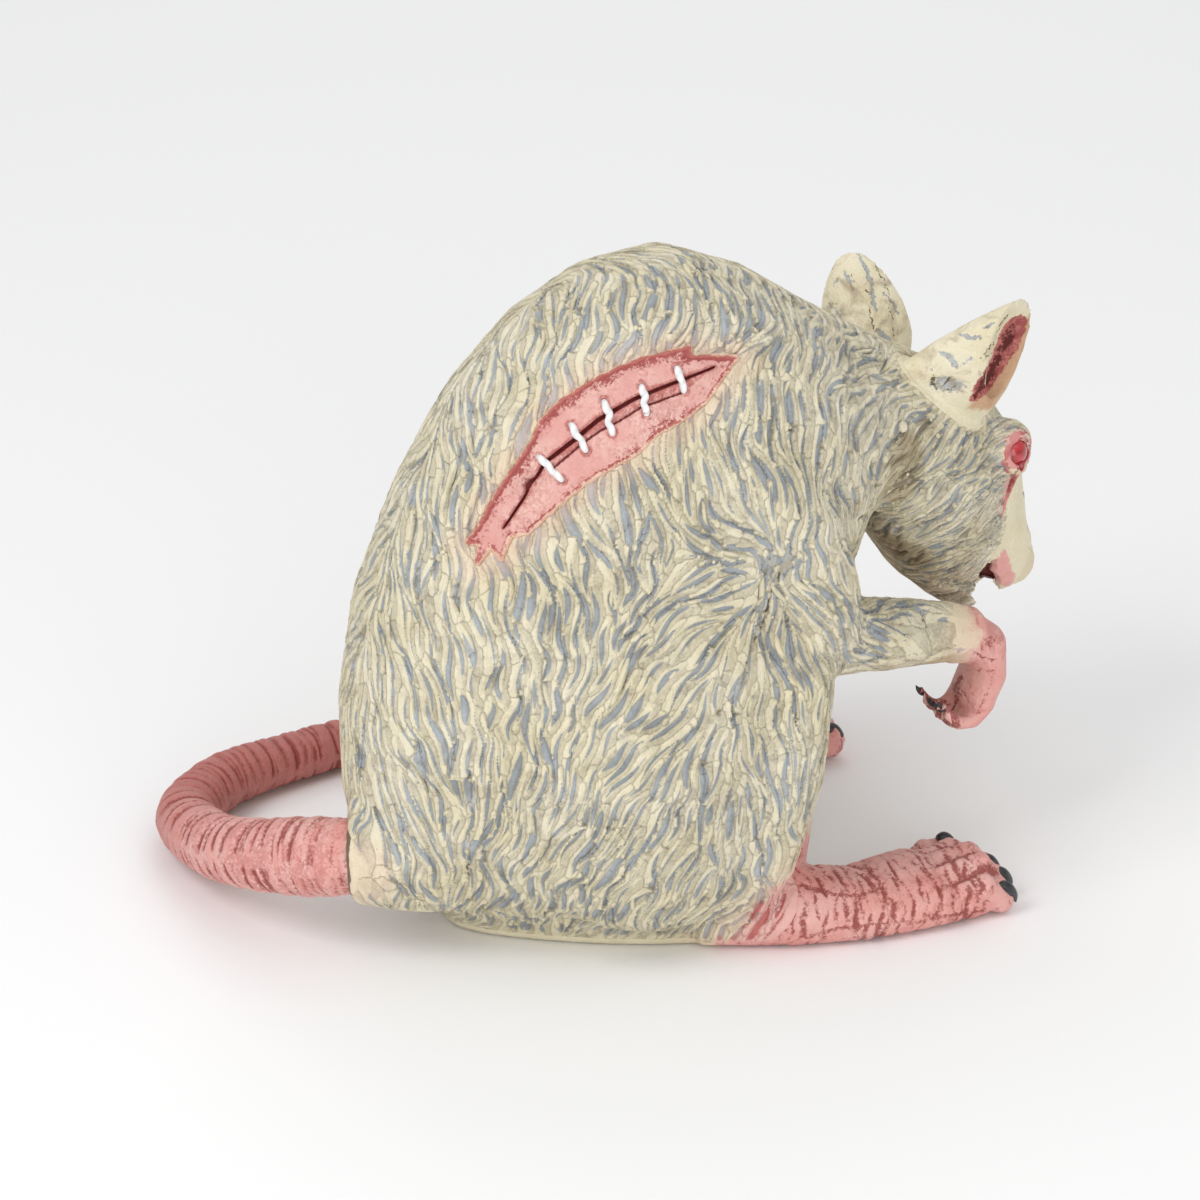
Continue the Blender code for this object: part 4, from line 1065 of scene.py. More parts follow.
lie = (  # x, y, z on the right side, and the strands' angle in the photograph, clockwise from the right
    (-18, 5, 165, 108), (-4, -10, 169, 81), (29, -11, 162, 86), (-33, 9, 156, 108), (-28, -4, 160, 87),
    (-14, -18, 163, 109), (4, -25, 162, 109), (27, -24, 157, 97), (43, -16, 151, 108), (60, -4, 143, 100),
    (-41, 4, 149, 97), (-29, -17, 156, 101), (17, -33, 153, 125), (43, -26, 144, 125),
    (60, -16, 136, 146), (73, -14, 132, 141), (81, -19, 133, 131), (-48, -1, 142, 90),
    (-35, -17, 146, 109), (-1, -36, 147, 98), (20, -37, 143, 75), (32, -36, 140, 102),
    (46, -30, 134, 139), (78, -15, 121, 144), (88, -17, 119, 138), (-41, -20, 138, 120),
    (12, -42, 136, 83), (25, -39, 132, 60), (37, -37, 128, 85), (53, -29, 121, 115), (68, -22, 115, 141),
    (82, -19, 110, 135), (-60, -2, 124, 88), (-55, -14, 128, 92), (-4, -41, 128, 61), (6, -44, 127, 69),
    (29, -41, 121, 106), (45, -34, 114, 85), (62, -24, 106, 146), (75, -22, 102, 132), (88, -19, 98, 140),
    (-65, -2, 114, 84), (-60, -14, 118, 93), (-38, -34, 122, 81), (-20, -40, 121, 69), (1, -42, 117, 63),
    (11, -44, 116, 63), (21, -47, 115, 113), (35, -42, 109, 69), (64, -10, 88, 116), (71, -19, 91, 140),
    (82, -20, 88, 141), (98, -13, 82, 168), (-65, -13, 108, 84), (-52, -29, 112, 89), (-35, -38, 113, 65),
    (-25, -41, 112, 89), (-5, -44, 108, 154), (6, -44, 106, 160), (17, -44, 103, 102), (26, -47, 103, 49),
    (74, -5, 72, 155), (79, -15, 75, 165), (-70, -12, 98, 88), (-57, -29, 103, 75), (-40, -38, 103, 82),
    (-31, -42, 102, 102), (-21, -44, 101, 125), (-11, -45, 99, 157), (0, -45, 97, 173),
    (11, -44, 94, 105), (22, -45, 91, 37), (32, -47, 90, 63), (50, -36, 81, 172), (63, -34, 76, 24),
    (-69, -20, 91, 65), (-54, -33, 93, 88), (-36, -42, 93, 103), (-17, -46, 90, 130), (5, -46, 85, 111),
    (16, -46, 82, 68), (27, -47, 80, 66), (54, -40, 71, 180), (-66, -26, 82, 77), (-51, -38, 84, 95),
    (-32, -44, 82, 107), (-23, -48, 82, 116), (-14, -50, 80, 174), (-3, -51, 78, 99), (9, -50, 75, 83),
    (18, -53, 74, 78), (-77, -13, 67, 78), (-55, -36, 73, 84), (-47, -41, 73, 91), (-30, -50, 73, 138),
    (-10, -54, 70, 124), (1, -53, 67, 84), (12, -53, 65, 76), (24, -53, 61, 99), (-74, -19, 58, 66),
    (-60, -34, 62, 93), (-44, -46, 64, 103), (-26, -53, 63, 126), (-5, -55, 59, 92), (7, -54, 55, 66),
    (17, -56, 53, 101), (-71, -23, 48, 67), (-56, -36, 51, 113), (-31, -53, 53, 121), (-11, -56, 49, 99),
    (11, -56, 44, 96), (-59, -32, 39, 114), (-44, -46, 42, 118), (-26, -54, 41, 120), (6, -55, 33, 75),
    (-79, -16, 24, 72), (-61, -24, 23, 80), (-45, -37, 26, 122), (-20, -52, 27, 123), (3, -52, 21, 106),
    (-42, -19, 4, 129), (-21, -44, 12, 117), (1, -45, 7, 116),
)
unseenLie = (  # x, y, z and direction, where the photograph doesn't reach
    ((45, -12, 62), (0.1, -0.1, -1)), ((48, 0, 80), (0, 0, -1)), ((38, -20, 50), (0, 0.2, -1)),
    ((36, -8, 25), (0.1, 0, -1)), ((100, 0, 118), (-0.9, 0, 0.4)), ((88, 0, 128), (-0.9, 0, 0.3)),
    ((108, 0, 100), (-0.4, 0, 0.9)), ((112, 0, 84), (-0.2, 0, 1)), ((-84, 0, 60), (0, 0, -1)),
    ((-82, 0, 44), (0, 0, -1)), ((60, 0, 70), (-0.3, 0, -1)),
)


def lieTensors():
    places, ways = [], []
    for x, y, z, angle in lie:
        a = math.radians(angle)
        flat = np.array(viewRight) * math.cos(a) - np.array(viewUp) * math.sin(a)
        _, out = onSkin([(x, y, z)])
        way = unit(np.cross(out[0], np.cross(flat, np.array(viewBack))))
        for turn in (1, -1):
            if turn == -1 and y > -9 and z > 95 and x < 66:
                continue  # the ridge of the back belongs to both sides
            places.append((x, y * turn, z))
            ways.append(way * (1, turn, 1))
    for place, way in unseenLie:
        for turn in (1, -1):
            places.append((place[0], place[1] * turn, place[2]))
            ways.append(unit(np.array(way)) * (1, turn, 1))
    ways = np.array(ways)
    return np.array(places, float), np.einsum("ni,nj->nij", ways, ways).reshape(-1, 9)


lieSpots, lieWays = lieTensors()


def wayAt(place, out, before=None):
    # the direction of the coat at places on the skin
    far = ((place[:, None, :] - lieSpots[None]) ** 2).sum(2)
    pull = np.exp(-far / (2 * 7.5**2)) + 30 / (far + 60) ** 2
    field = (pull @ lieWays).reshape(-1, 3, 3)
    flat = np.eye(3) - np.einsum("ni,nj->nij", out, out)
    way = np.linalg.eigh(flat @ field @ flat)[1][:, :, 2]
    lead = np.array((-0.25, 0, -1.0)) if before is None else before
    sign = np.sign((way * lead).sum(-1))
    return unit(way * np.where(sign == 0, 1, sign)[:, None])


grooveSetup = dict(
    seed=11, tries=90000, segments=14, pitch=2.6, reach=8.2, length=15.5, width=1.95, depth=0.9,
    wave=0.50, period=15.0, stray=0.10, chance=0.08, faces=98000, top=0.30,
)
lockSetup = dict(
    seed=23, tries=12000, segments=11, pitch=5.0, reach=13.0, length=15.0, width=1.7, rise=0.80,
    wave=0.50, period=15.0, stray=0.14, chance=0.3, piece=1400,
)


def coatScale(place):
    # the strands are finer on the face, the neck and the arms
    x, y, z = mirrored(place).T
    head = step(72, 92, x) * step(50, 56, z)
    neck = step(50, 66, x) * (1 - head)
    low = 1 - step(8, 26, z)
    arm = step(36, 48, x) * (1 - step(84, 90, z)) * (1 - neck)
    return 1 - 0.46 * head - 0.22 * neck - 0.15 * low - 0.2 * arm


def scatter(setup, rng):
    corners = np.empty(len(skin.loop_triangles) * 3, np.int32)
    skin.loop_triangles.foreach_get("vertices", corners)
    a, b, c = (skinPlace[corners.reshape(-1, 3)[:, k]] for k in range(3))
    cross = np.cross(b - a, c - a)
    area = np.linalg.norm(cross, axis=1)
    pick = rng.choice(len(area), setup["tries"], p=area / area.sum())
    u, v = rng.random((2, setup["tries"], 1))
    flip = u + v > 1
    u, v = np.where(flip, 1 - u, u), np.where(flip, 1 - v, v)
    place = a[pick] + (b - a)[pick] * u + (c - a)[pick] * v
    ear = np.minimum(fromNode("ear_right", place), fromNode("ear_left", place))
    cover = coatCover(place) * step(0.4, 0.7, shellCover(place, fromWound(place), ear))
    keep = (cover > rng.random(len(place)) * 0.8 + setup["chance"]) & (place[:, 2] > 1.2)
    return place[keep], unit(cross)[pick][keep]


def spaced(setup, place, way, size):
    # drops roots that crowd one already kept, closer along the coat than across it
    pitch, reach = setup["pitch"], setup["reach"]
    cells, kept = {}, []
    width = reach + 0.5
    keys = np.floor(place / width).astype(int)
    for i in range(len(place)):
        key = tuple(keys[i])
        crowd = [k for dx in (-1, 0, 1) for dy in (-1, 0, 1) for dz in (-1, 0, 1)
                 for k in cells.get((key[0] + dx, key[1] + dy, key[2] + dz), ())]
        if crowd:
            off = place[crowd] - place[i]
            along = np.abs(off @ way[i])
            across = np.sqrt(np.maximum((off * off).sum(1) - along**2, 0))
            if (((along / (reach * size[i])) ** 2 + (across / (pitch * size[i])) ** 2) < 1).any():
                continue
        kept.append(i)
        cells.setdefault(key, []).append(i)
    return np.array(kept)


def swingAt(setup, place):
    # neighbours bend together, so that waves run through the coat
    side = mirrored(place)
    phase = 2 * math.pi * (side[:, 2] * 0.9 + side[:, 0] * 0.45) / setup["period"] + 2.1 * ripple(side, 34, 17)
    return setup["wave"] * (0.62 + 0.38 * ripple(side, 26, 18)) * np.sin(phase)


def grow(setup):
    # paths on the skin that follow the coat's lie, spread evenly
    rng = np.random.default_rng(setup["seed"])
    skin.calc_loop_triangles()
    place, out = scatter(setup, rng)
    way = wayAt(place, out)
    size = coatScale(place)
    kept = spaced(setup, place, way, size)
    place, out, way, size = place[kept], out[kept], way[kept], size[kept]
    count, rings = len(place), setup["segments"] + 1
    length = setup["length"] * size * rng.uniform(0.5, 1.5, count)
    stray = rng.normal(0, setup["stray"], count)
    pace = length / setup["segments"]
    paths, outs = [None] * rings, [None] * rings
    middle = rings // 2
    paths[middle], outs[middle] = place, out
    for turn in (1, -1):
        here, up, ahead = place, out, way * turn
        for k in range(1, (rings - middle) if turn == 1 else middle + 1):
            index = middle + turn * k
            flow = wayAt(here, up, ahead)
            swing = stray + swingAt(setup, here)
            side = np.cross(up, flow)
            ahead = unit(flow * np.cos(swing)[:, None] + side * np.sin(swing)[:, None])
            here, up = onSkin(here + ahead * pace[:, None])
            paths[index], outs[index] = here, up
    path, up = np.stack(paths, 1), unit(np.stack(outs, 1))
    for _ in range(2):
        path[:, 1:-1] = path[:, 1:-1] * 0.5 + (path[:, :-2] + path[:, 2:]) * 0.25
        up[:, 1:-1] = unit(up[:, 1:-1] * 0.5 + (up[:, :-2] + up[:, 2:]) * 0.25)
    tangent = unit(np.gradient(path, axis=1))
    side = unit(np.cross(up, tangent))
    return place, size, length, path, up, side, rng


def meshOf(name, place, loops, sizes):
    mesh = bpy.data.meshes.new(name)
    mesh.vertices.add(len(place))
    mesh.loops.add(len(loops))
    mesh.polygons.add(len(sizes))
    mesh.vertices.foreach_set("co", (place * mm).astype(np.float32).ravel())
    mesh.loops.foreach_set("vertex_index", loops.astype(np.int32))
    mesh.polygons.foreach_set("loop_start", np.concatenate([[0], np.cumsum(sizes)[:-1]]).astype(np.int32))
    mesh.update(calc_edges=True)
    return mesh


def bakeMap(mesh, u, v):
    layer = mesh.uv_layers.new(name="OFBake")
    corner = np.empty(len(mesh.loops), np.int32)
    mesh.loops.foreach_get("vertex_index", corner)
    layer.data.foreach_set("uv", np.stack([u[corner], v[corner]], 1).astype(np.float32).ravel())


def unwrapped(place):
    # the body unrolled round its own long axis
    around = np.arctan2(place[:, 1], place[:, 2] - 70) / (2 * math.pi) + 0.5
    return around * 0.98 + 0.01, (place[:, 0] + 110) / 240 * 0.98 + 0.01


def carve(place, out):
    # for each place on the coat: how far the nearest groove is as a share of its half width, how far outside
    # its edge, that half width, how far across and along it, its tone; and how many grooves there are
    setup = grooveSetup
    root, size, length, path, _, side, rng = grow(setup)
    count, rings = len(root), setup["segments"] + 1
    half = setup["width"] * size * np.exp(rng.normal(0, 0.38, count)) / 2 * (1 + 0.4 * ripple(root, 18, 14))
    skew = rng.uniform(0.7, 1.5, count)
    fine = np.linspace(0, rings - 1, 30)
    low = np.minimum(fine.astype(int), rings - 2)
    part = (fine - low)[None, :, None]
    line = path[:, low] * (1 - part) + path[:, low + 1] * part
    sides = unit(side[:, low] * (1 - part) + side[:, low + 1] * part)
    share = fine / (rings - 1)
    leaf = np.sin(np.pi * share[None] ** skew[:, None]) ** 0.85
    wide = np.maximum(np.clip(half, 0.28, 1.7)[:, None] * leaf, 0.04)
    tree = KDTree(count * len(fine))
    for i, spot in enumerate(line.reshape(-1, 3)):
        tree.insert(spot, i)
    tree.balance()
    nearest = np.array([tree.find(spot)[1] for spot in place])
    off = place - line.reshape(-1, 3)[nearest]
    off = off - (off * out).sum(1)[:, None] * out
    across = (off * sides.reshape(-1, 3)[nearest]).sum(1)
    far = np.linalg.norm(off, axis=1)
    owner = nearest // len(fine)
    along = share[nearest % len(fine)] * length[owner]
    reach = wide.ravel()[nearest]
    return far / reach, far - reach, reach, across, along, rng.random(count)[owner], count


def coatPink(place):
    face = headSide(place)
    streak = brushed(pixels(face), strokes["face"]) * (place[:, 0] > 84) * (face[:, 1] < -4.5)
    return np.maximum.reduce([pinkFoot(place), pinkHand(place), eyeMask(place, eyes["lidReach"]), streak])


def makeCoat():
    corners = np.empty(len(body.data.loops), np.int32)
    body.data.loops.foreach_get("vertex_index", corners)
    quads = corners.reshape(-1, 4)
    quads = quads[(bodyShell[quads] > 0.06).any(1) & (bodyPlace[quads][:, :, 2] > 0.9).any(1)]
    used, quads = np.unique(quads, return_inverse=True)
    quads = quads.reshape(-1, 4)
    place, out, shell, crack = bodyPlace[used], bodyOut[used], bodyShell[used], bodyCrack[used]
    stage(f"coat of {len(quads)} faces before it is carved")
    groove, gap, reach, across, along, tone, count = carve(place, out)
    armPatch, lines = armMarks(place)
    patch = np.maximum(spots(mirrored(place), slateSpots), armPatch)
    deep = (1 - step(0.45, 1.05, groove)) * (0.30 + 0.70 * step(0.15, 0.9, reach))
    lip = np.exp(-((gap - 0.32) / 0.26) ** 2)
    lift = 0.12 * lip + 0.07 * ripple(place, 6, 2) - grooveSetup["depth"] * deep * (0.75 + 0.25 * tone)
    lift = lift - 0.5 * step(0.3, 0.6, patch) - 1.0 * crack - 0.3 * lines
    lift = lift - grooveSetup["top"] - 1.4 * (1 - step(0, 0.45, shell))
    values = dict(
        groove=groove, across=across, along=along, tone=tone, crack=np.maximum(crack, lines),
        patch=patch, blush=paintBlush(place), umber=spots(headSide(place), umberWashAndShadeSpots), pink=coatPink(place),
    )
    place = place + out * (lift - skinSetup["swell"])[:, None]
    u, v = unwrapped(place)
    middle = place[quads].mean(1)
    order = np.argsort(middle[:, 0] + middle[:, 2] * 0.35, kind="stable")  # pieces are slabs across the body
    meshes = []
    for start in range(0, len(order), grooveSetup["faces"]):
        mine = quads[order[start:start + grooveSetup["faces"]]]
        own, local = np.unique(mine, return_inverse=True)
        mesh = meshOf("coat", place[own], local.ravel(), np.full(len(mine), 4))
        for name, layer in values.items():
            setValue(mesh, name, layer[own])
        bakeMap(mesh, u[own], v[own])
        meshes.append(mesh)
    return meshes, count


def lockSection():
    # each vertex of a lock's bar as its ring, its place across and its height
    bar = rod(lockSetup["segments"], 6)
    profile = ((0.36, 1), (-0.36, 1), (-0.80, 0.66), (-1, 0), (1, 0), (0.80, 0.66))
    ring, across, height = [], [], []
    for vert in bar.verts:
        corner = int(round((math.degrees(math.atan2(vert.co.y, vert.co.x)) - 30) / 60)) % 6
        ring.append(int(round(vert.co.z * lockSetup["segments"])))
        across.append(profile[corner][0])
        height.append(profile[corner][1])
    return bar, np.array(ring), np.array(across), np.array(height)


def makeLocks():
    setup = lockSetup
    root, size, length, path, up, side, rng = grow(setup)
    bar, ring, across, height = lockSection()
    template = meshFrom(bar, "lock")
    faces = [np.array(f.vertices) for f in template.polygons]
    count, each = len(root), len(ring)
    share = ring / setup["segments"]
    ends = np.sin(np.pi * np.clip(share, 0.01, 0.99) ** 0.8)
    flat = path.reshape(-1, 3)
    ear = np.minimum(fromNode("ear_right", flat), fromNode("ear_left", flat))
    thick = coatCover(flat) * shellCover(flat, fromWound(flat), ear) * (1 - crackDepth(flat))
    thick = thick.reshape(count, -1)[:, ring]
    width = setup["width"] * size * rng.uniform(0.6, 1.3, count) / 2
    rise = setup["rise"] * rng.uniform(0.7, 1.0, count)
    base = skinSetup["coatDepth"] - grooveSetup["top"] - 0.75
    lift = base + (rise[:, None] * ends**0.6) * height * thick - (1 - ends) * 0.5 - (1 - thick) * 1.2
    aside = side[:, ring] * (width[:, None] * ends**0.8 * across)[..., None]
    grid = path[:, ring] + aside + up[:, ring] * lift[..., None]
    paths = dict(
        blush=paintBlush(flat), pink=coatPink(flat),
        umber=spots(headSide(flat), umberWashAndShadeSpots), patch=spots(mirrored(flat), slateSpots),
    )
    paths = {name: layer.reshape(count, -1)[:, ring] for name, layer in paths.items()}
    tone = rng.random(count)
    loops, sizes = np.concatenate(faces), np.array([len(f) for f in faces])
    meshes = []
    for start in range(0, count, setup["piece"]):
        chosen = np.arange(start, min(start + setup["piece"], count))
        many = len(chosen)
        shift = np.repeat(np.arange(many) * each, len(loops))
        mesh = meshOf("locks", grid[chosen].reshape(-1, 3), np.tile(loops, many) + shift, np.tile(sizes, many))
        values = dict(
            groove=np.tile(0.8 + 0.7 * height, many), tone=np.repeat(tone[chosen], each),
            across=width[chosen][:, None] * across[None],
            along=share[None] * length[chosen][:, None], crack=np.zeros(many * each),
            **{name: layer[chosen] for name, layer in paths.items()},
        )
        for name, layer in values.items():
            setValue(mesh, name, np.ravel(layer))
        u, v = unwrapped(path[chosen, len(path[0]) // 2])
        bakeMap(mesh, (u[:, None] + across * 0.0015).ravel(), (v[:, None] + (share - 0.5) * 0.003).ravel())
        meshes.append(outwards(mesh))
    return meshes, count


coatFinish = Finish("paintedCoat", Specular_IOR_Level=0.35)
f = coatFinish
groove, across, along, tone, patch, crack = f.attributes("groove across along tone patch crack")
blushPaint, umberWashAndShade, pinkPaint = f.attributes("blush umber pink")
strandPlace = f.joined(across * 1.5 + tone * 40, along * 0.10, tone * 17)
strand, grit = f.noise(1.6, 3.0, vector=strandPlace), f.grit()
speckle, broad, grain = f.noise(420.0, 4.0), f.noise(60.0, 3.0), f.noise(1900.0, 2.0)
blotch, fleck = f.noise(150.0, 4.0, warp=0.8), f.noise(900.0, 3.0)
cream, slate = groundPaints(f, broad, strand.span(0.56, 0.72) * 0.25, fleck.span(0.60, 0.72) * 0.5)
# painted shade and brown wash where the umber spots lie, darkening the slate and the cream
washAndShade = (umberWashAndShade + blotch.sway(0.6)).span(0.25, 0.95)
slate = f.blend(washAndShade * 0.65, slate, paint["brown"])
bared = (patch + grit.sway(0.4) + blotch.sway(0.8)).span(0.45, 0.62)
level = groove + grit.sway(0.16) + speckle.sway(0.40) + strand.sway(0.25) - bared * 3
tinted = f.blend(level.span(0.62, 0.80), slate, cream)
rim = (1 - ((level - 0.74) * 5.0).maths("ABSOLUTE")).clamp()  # a broken brown line at a groove's wall: brown wash and painted shade, heavier on one side
rim = rim * ((across * 2.2).clamp() * 0.6 + blotch.span(0.45, 0.65) * 0.5) * (0.5 + grit * 0.7)
tinted = f.blend(rim * 0.95, tinted, paint["brown"])
tinted = f.blend(washAndShade * 0.62, tinted, paint["umber"])
tinted = f.blend(fleck.span(0.70, 0.76) * 0.6, tinted, paint["brown"])
tinted = f.blend(blushPaint * 0.5, tinted, paint["peach"])
pinkTone = f.blend(level.span(0.5, 0.9), paint["rose"], paint["palePink"])
tinted = f.blend((pinkPaint + blotch.sway(1.1) + grit.sway(0.35)).span(0.22, 0.78), tinted, pinkTone)
tinted = f.blend((crack + speckle.sway(0.5)).span(0.45, 0.9) * 0.85, tinted, paint["brown"])
f.feed("Base Color", tinted)
f.feed("Roughness", 0.47 + speckle * 0.22)
f.relief(strand * 1.0 + speckle * 0.7 + grit * 0.4 + grain * 0.25, 0.0004, 0.9)

coatMeshes, grooveCount = makeCoat()
for number, mesh in enumerate(coatMeshes):
    addPiece(f"coat_{number + 1}", mesh, coatFinish)
stage(f"coat carved with {grooveCount} grooves, in {len(coatMeshes)} pieces")
lockMeshes, lockCount = makeLocks()
for number, mesh in enumerate(lockMeshes):
    addPiece(f"locks_{number + 1}", mesh, coatFinish)
stage(f"{lockCount} raised locks")
bpy.data.objects.remove(body)


# beads of resin that the mould has left on the neck and shoulder


def throughPixel(spot):
    # where the photograph's line of sight through a spot meets the skin
    right, up = (value * photo["scale"] for value in spot)
    way = Vector(viewRight) * right + Vector(viewUp) * up - viewBack * (photo["distance"] / mm)
    hit, out, _, _ = skinTree.ray_cast(viewEye, way.normalized())
    return hit, out


def fromMiddle(x, y):
    # a pixel from the photograph's corner as a spot from its middle
    return x - photo["size"] / 2, photo["size"] / 2 - y


beadSetup = dict(
    rows=(  # pixel and radius
        (899.5, 427, 1.5), (881.6, 459, 1.05), (935, 436, 0.7), (905, 473, 0.5), (893, 500, 0.45),
        (886, 489, 0.5), (705, 548, 0.95), (697, 556, 0.5), (712, 561, 0.45), (694, 566, 0.4),
        (857, 566, 0.4), (786, 596, 0.5), (770, 616, 0.4), (812, 545, 0.5), (833, 628, 0.45),
        (690, 560, 0.4), (962, 480, 0.4), (720, 552, 0.45), (928, 420, 0.55), (640, 330, 0.35),
        (578, 352, 0.4), (742, 655, 0.4), (436, 718, 0.35), (826, 468, 0.45), (884, 352, 0.45),
    ),
    stand=0.9, squash=0.75,
)


def makeBeads():
    whole = bmesh.new()
    for x, y, radius in beadSetup["rows"]:
        hit, out = throughPixel(fromMiddle(x, y))
        if out is None:
            continue
        turn = out.to_track_quat("Z", "Y").to_matrix().to_4x4()
        squash = Matrix.Diagonal((1, 1, beadSetup["squash"], 1))
        spot = Matrix.Translation((hit + out * beadSetup["stand"]) * mm)
        bmesh.ops.create_icosphere(whole, subdivisions=2, radius=radius * mm, matrix=spot @ turn @ squash)
    mesh = meshFrom(whole, "beads")
    setValue(mesh, "groove", np.full(len(mesh.vertices), 1.5))
    return outwards(mesh)


addPiece("beads", makeBeads(), coatFinish)
stage("beads")


# the tail: one tapering tube with uneven rings, glued into the collar of the rump

tailSetup = dict(
    route=(  # x, y, z and radius
        (-77, -5, 27, 8.0), (-84, 1, 26, 10.2), (-96, 20, 20, 9.4), (-100, 42, 13, 8.5),
        (-97, 66, 8.4, 8.1), (-81, 80, 7.3, 7.5), (-60, 85, 6.6, 6.8), (-36, 87, 6.0, 6.3),
        (-10, 87, 5.3, 5.5), (14, 84, 4.1, 4.3), (34.5, 80.3, 2.7, 2.6),
    ),
    rings=1000, sides=48, seed=5, inset=0.15, pitch=2.7, crease=0.72,
    seams=(-0.15, 2.95), seamWidth=0.16, tip=2.6, floor=0.05, red=(0.46, 0.13, 0.108),
)


def makeTail():
    setup = tailSetup
    rng = np.random.default_rng(setup["seed"])
    mesh, ring, turn, line, spoke, total = barAlong("tail", setup["route"], setup["rings"], setup["sides"])
    run = ring / setup["rings"] * total
    # the edges of the mould run along both flanks, and the rings above and below them don't meet
    above = step(-0.25, 0.25, np.sin(turn + 0.15) * 2)
    band = 0
    for at in setup["seams"]:
        off = np.angle(np.exp(1j * (turn - at - 0.08 * np.sin(run * 0.15))))
        band = band + np.exp(-(off / setup["seamWidth"]) ** 2)
    crease = np.zeros(len(ring))
    for half in (above, 1 - above):
        edges = np.cumsum(rng.uniform(0.45, 1.6, int(total / setup["pitch"]) + 9)) * setup["pitch"]
        for edge in edges:
            phase = rng.uniform(0, 2 * math.pi, 3)
            at = edge + 0.55 * np.sin(turn + phase[0]) + 0.25 * np.sin(3 * turn + phase[1])
            share = rng.uniform(0.50, 1.0) * np.clip(0.90 + 0.40 * np.sin(turn * 2 + phase[2]), 0, 1) * half
            crease = np.maximum(crease, share * np.exp(-((run - at) / rng.uniform(0.42, 1.05)) ** 2))
    crease = crease * (1 - 0.9 * np.clip(band, 0, 1))
    swell = 0.12 * np.sin(run * 0.9 + 2 * np.sin(turn)) + 0.10 * np.sin(turn * 2 + run * 0.21)
    radius = line[:, 3] - setup["inset"] + swell * line[:, 3] / 10 - crease * setup["crease"]
    closing = np.minimum(1, np.maximum(0, (total - run)) / setup["tip"])
    radius = radius * np.sqrt(np.clip(1 - (1 - closing) ** 2, 0.0004, 1))
    place = line[:, :3] + spoke * radius[:, None]
    place[:, 2] = np.maximum(place[:, 2], setup["floor"])
    setPoints(mesh, place)
    setValue(mesh, "crease", crease)
    setValue(mesh, "around", turn)
    setValue(mesh, "run", run / total)
    return outwards(mesh)


tailFinish = Finish("paintedTail", Specular_IOR_Level=0.45)
f = tailFinish
crease, run, around = f.attributes("crease run around")
speckle, broad, grain = f.noise(520.0, 4.0), f.noise(95.0, 4.0, warp=0.6), f.noise(1900.0, 2.0)
ringPlace = f.joined(run * 95.0, around.sine() * 0.8, broad * 0.6)
worn = f.noise(1.6, 4.0, vector=ringPlace)  # brushed on round the tail, so it changes most along it
grit = f.grit()
base = f.blend(worn.span(0.35, 0.65), paint["pink"], paint["palePink"])
base = f.blend(run.span(0.20, 0.40) * 0.85, base, tailSetup["red"])
base = f.blend((broad * 1.2 - 0.1 + grit.sway(0.5)).span(0.42, 0.70) * 0.6, base, paint["rose"])
base = f.blend((crease * 1.5 + worn.sway(1.4) + grit.sway(0.7)).span(0.25, 1.25) * 0.9, base, paint["wash"])
f.feed("Base Color", base)
f.feed("Roughness", 0.30 + speckle * 0.25)
f.relief(broad * 0.8 + speckle + grit * 0.5 + grain * 0.3, 0.0004, 0.9)
addPiece("ringedTail", makeTail(), tailFinish, [f"tail_{k}" for k in range(1, 6)])
stage("tail")


# the wound: a torn outline, a puffed bed, the slit and its stitches


def nextTo(pairs, share, value):
    # for each point of a mesh, the mean value of the points that it shares an edge with
    total = np.bincount(pairs[:, 0], value[pairs[:, 1]], len(value))
    total += np.bincount(pairs[:, 1], value[pairs[:, 0]], len(value))
    return total / np.maximum(share, 1)


def woundSheet(setup):
    # a flat sheet of cells over the outline and its rim, in the photograph's pixels
    outline = np.array(setup["outline"], float)
    low, high = outline.min(0) - setup["margin"], outline.max(0) + setup["margin"]
    sizes = ((high - low) / setup["cell"]).astype(int)
    sheet = bmesh.new()
    bmesh.ops.create_grid(sheet, x_segments=int(sizes[0]), y_segments=int(sizes[1]), size=0.5)
    bmesh.ops.scale(sheet, verts=sheet.verts, vec=(*(high - low), 1))
    bmesh.ops.translate(sheet, verts=sheet.verts, vec=(*((high + low) / 2), 0))
    grid = np.array([v.co[:2] for v in sheet.verts])
    far, _ = fromLine(grid, outline, closed=True)
    kept = inOutline(grid, outline) | (far < setup["rimWidth"] / photo["scale"] + 1)
    gone = [v for v, keep in zip(sheet.verts, kept) if not keep]
    bmesh.ops.delete(sheet, geom=gone, context="VERTS")
    return sheet


def laidOut(sheet, grid, height, setup):
    # the sheet's points laid over the skin; the slit and the stitches' rooms in the body are bridged
    found = [throughPixel(spot) for spot in grid]
    hits, outs = (np.array([row[k] for row in found]) for k in (0, 1))
    sheet.verts.index_update()
    pairs = np.array([[v.index for v in edge.verts] for edge in sheet.edges])
    share = np.bincount(pairs.ravel(), minlength=len(grid))
    back = np.array(viewBack)
    level = hits @ back
    bridged = level.copy()
    for _ in range(setup["bridging"]):
        bridged = np.maximum(bridged, nextTo(pairs, share, bridged) - 0.002)
    for _ in range(setup["softening"]):
        outs = np.stack([nextTo(pairs, share, outs[:, k]) for k in range(3)], 1)
    ways = unit(unit(outs) * 0.6 + back * 0.4)
    return hits + back * (bridged - level)[:, None] + ways * height[:, None]


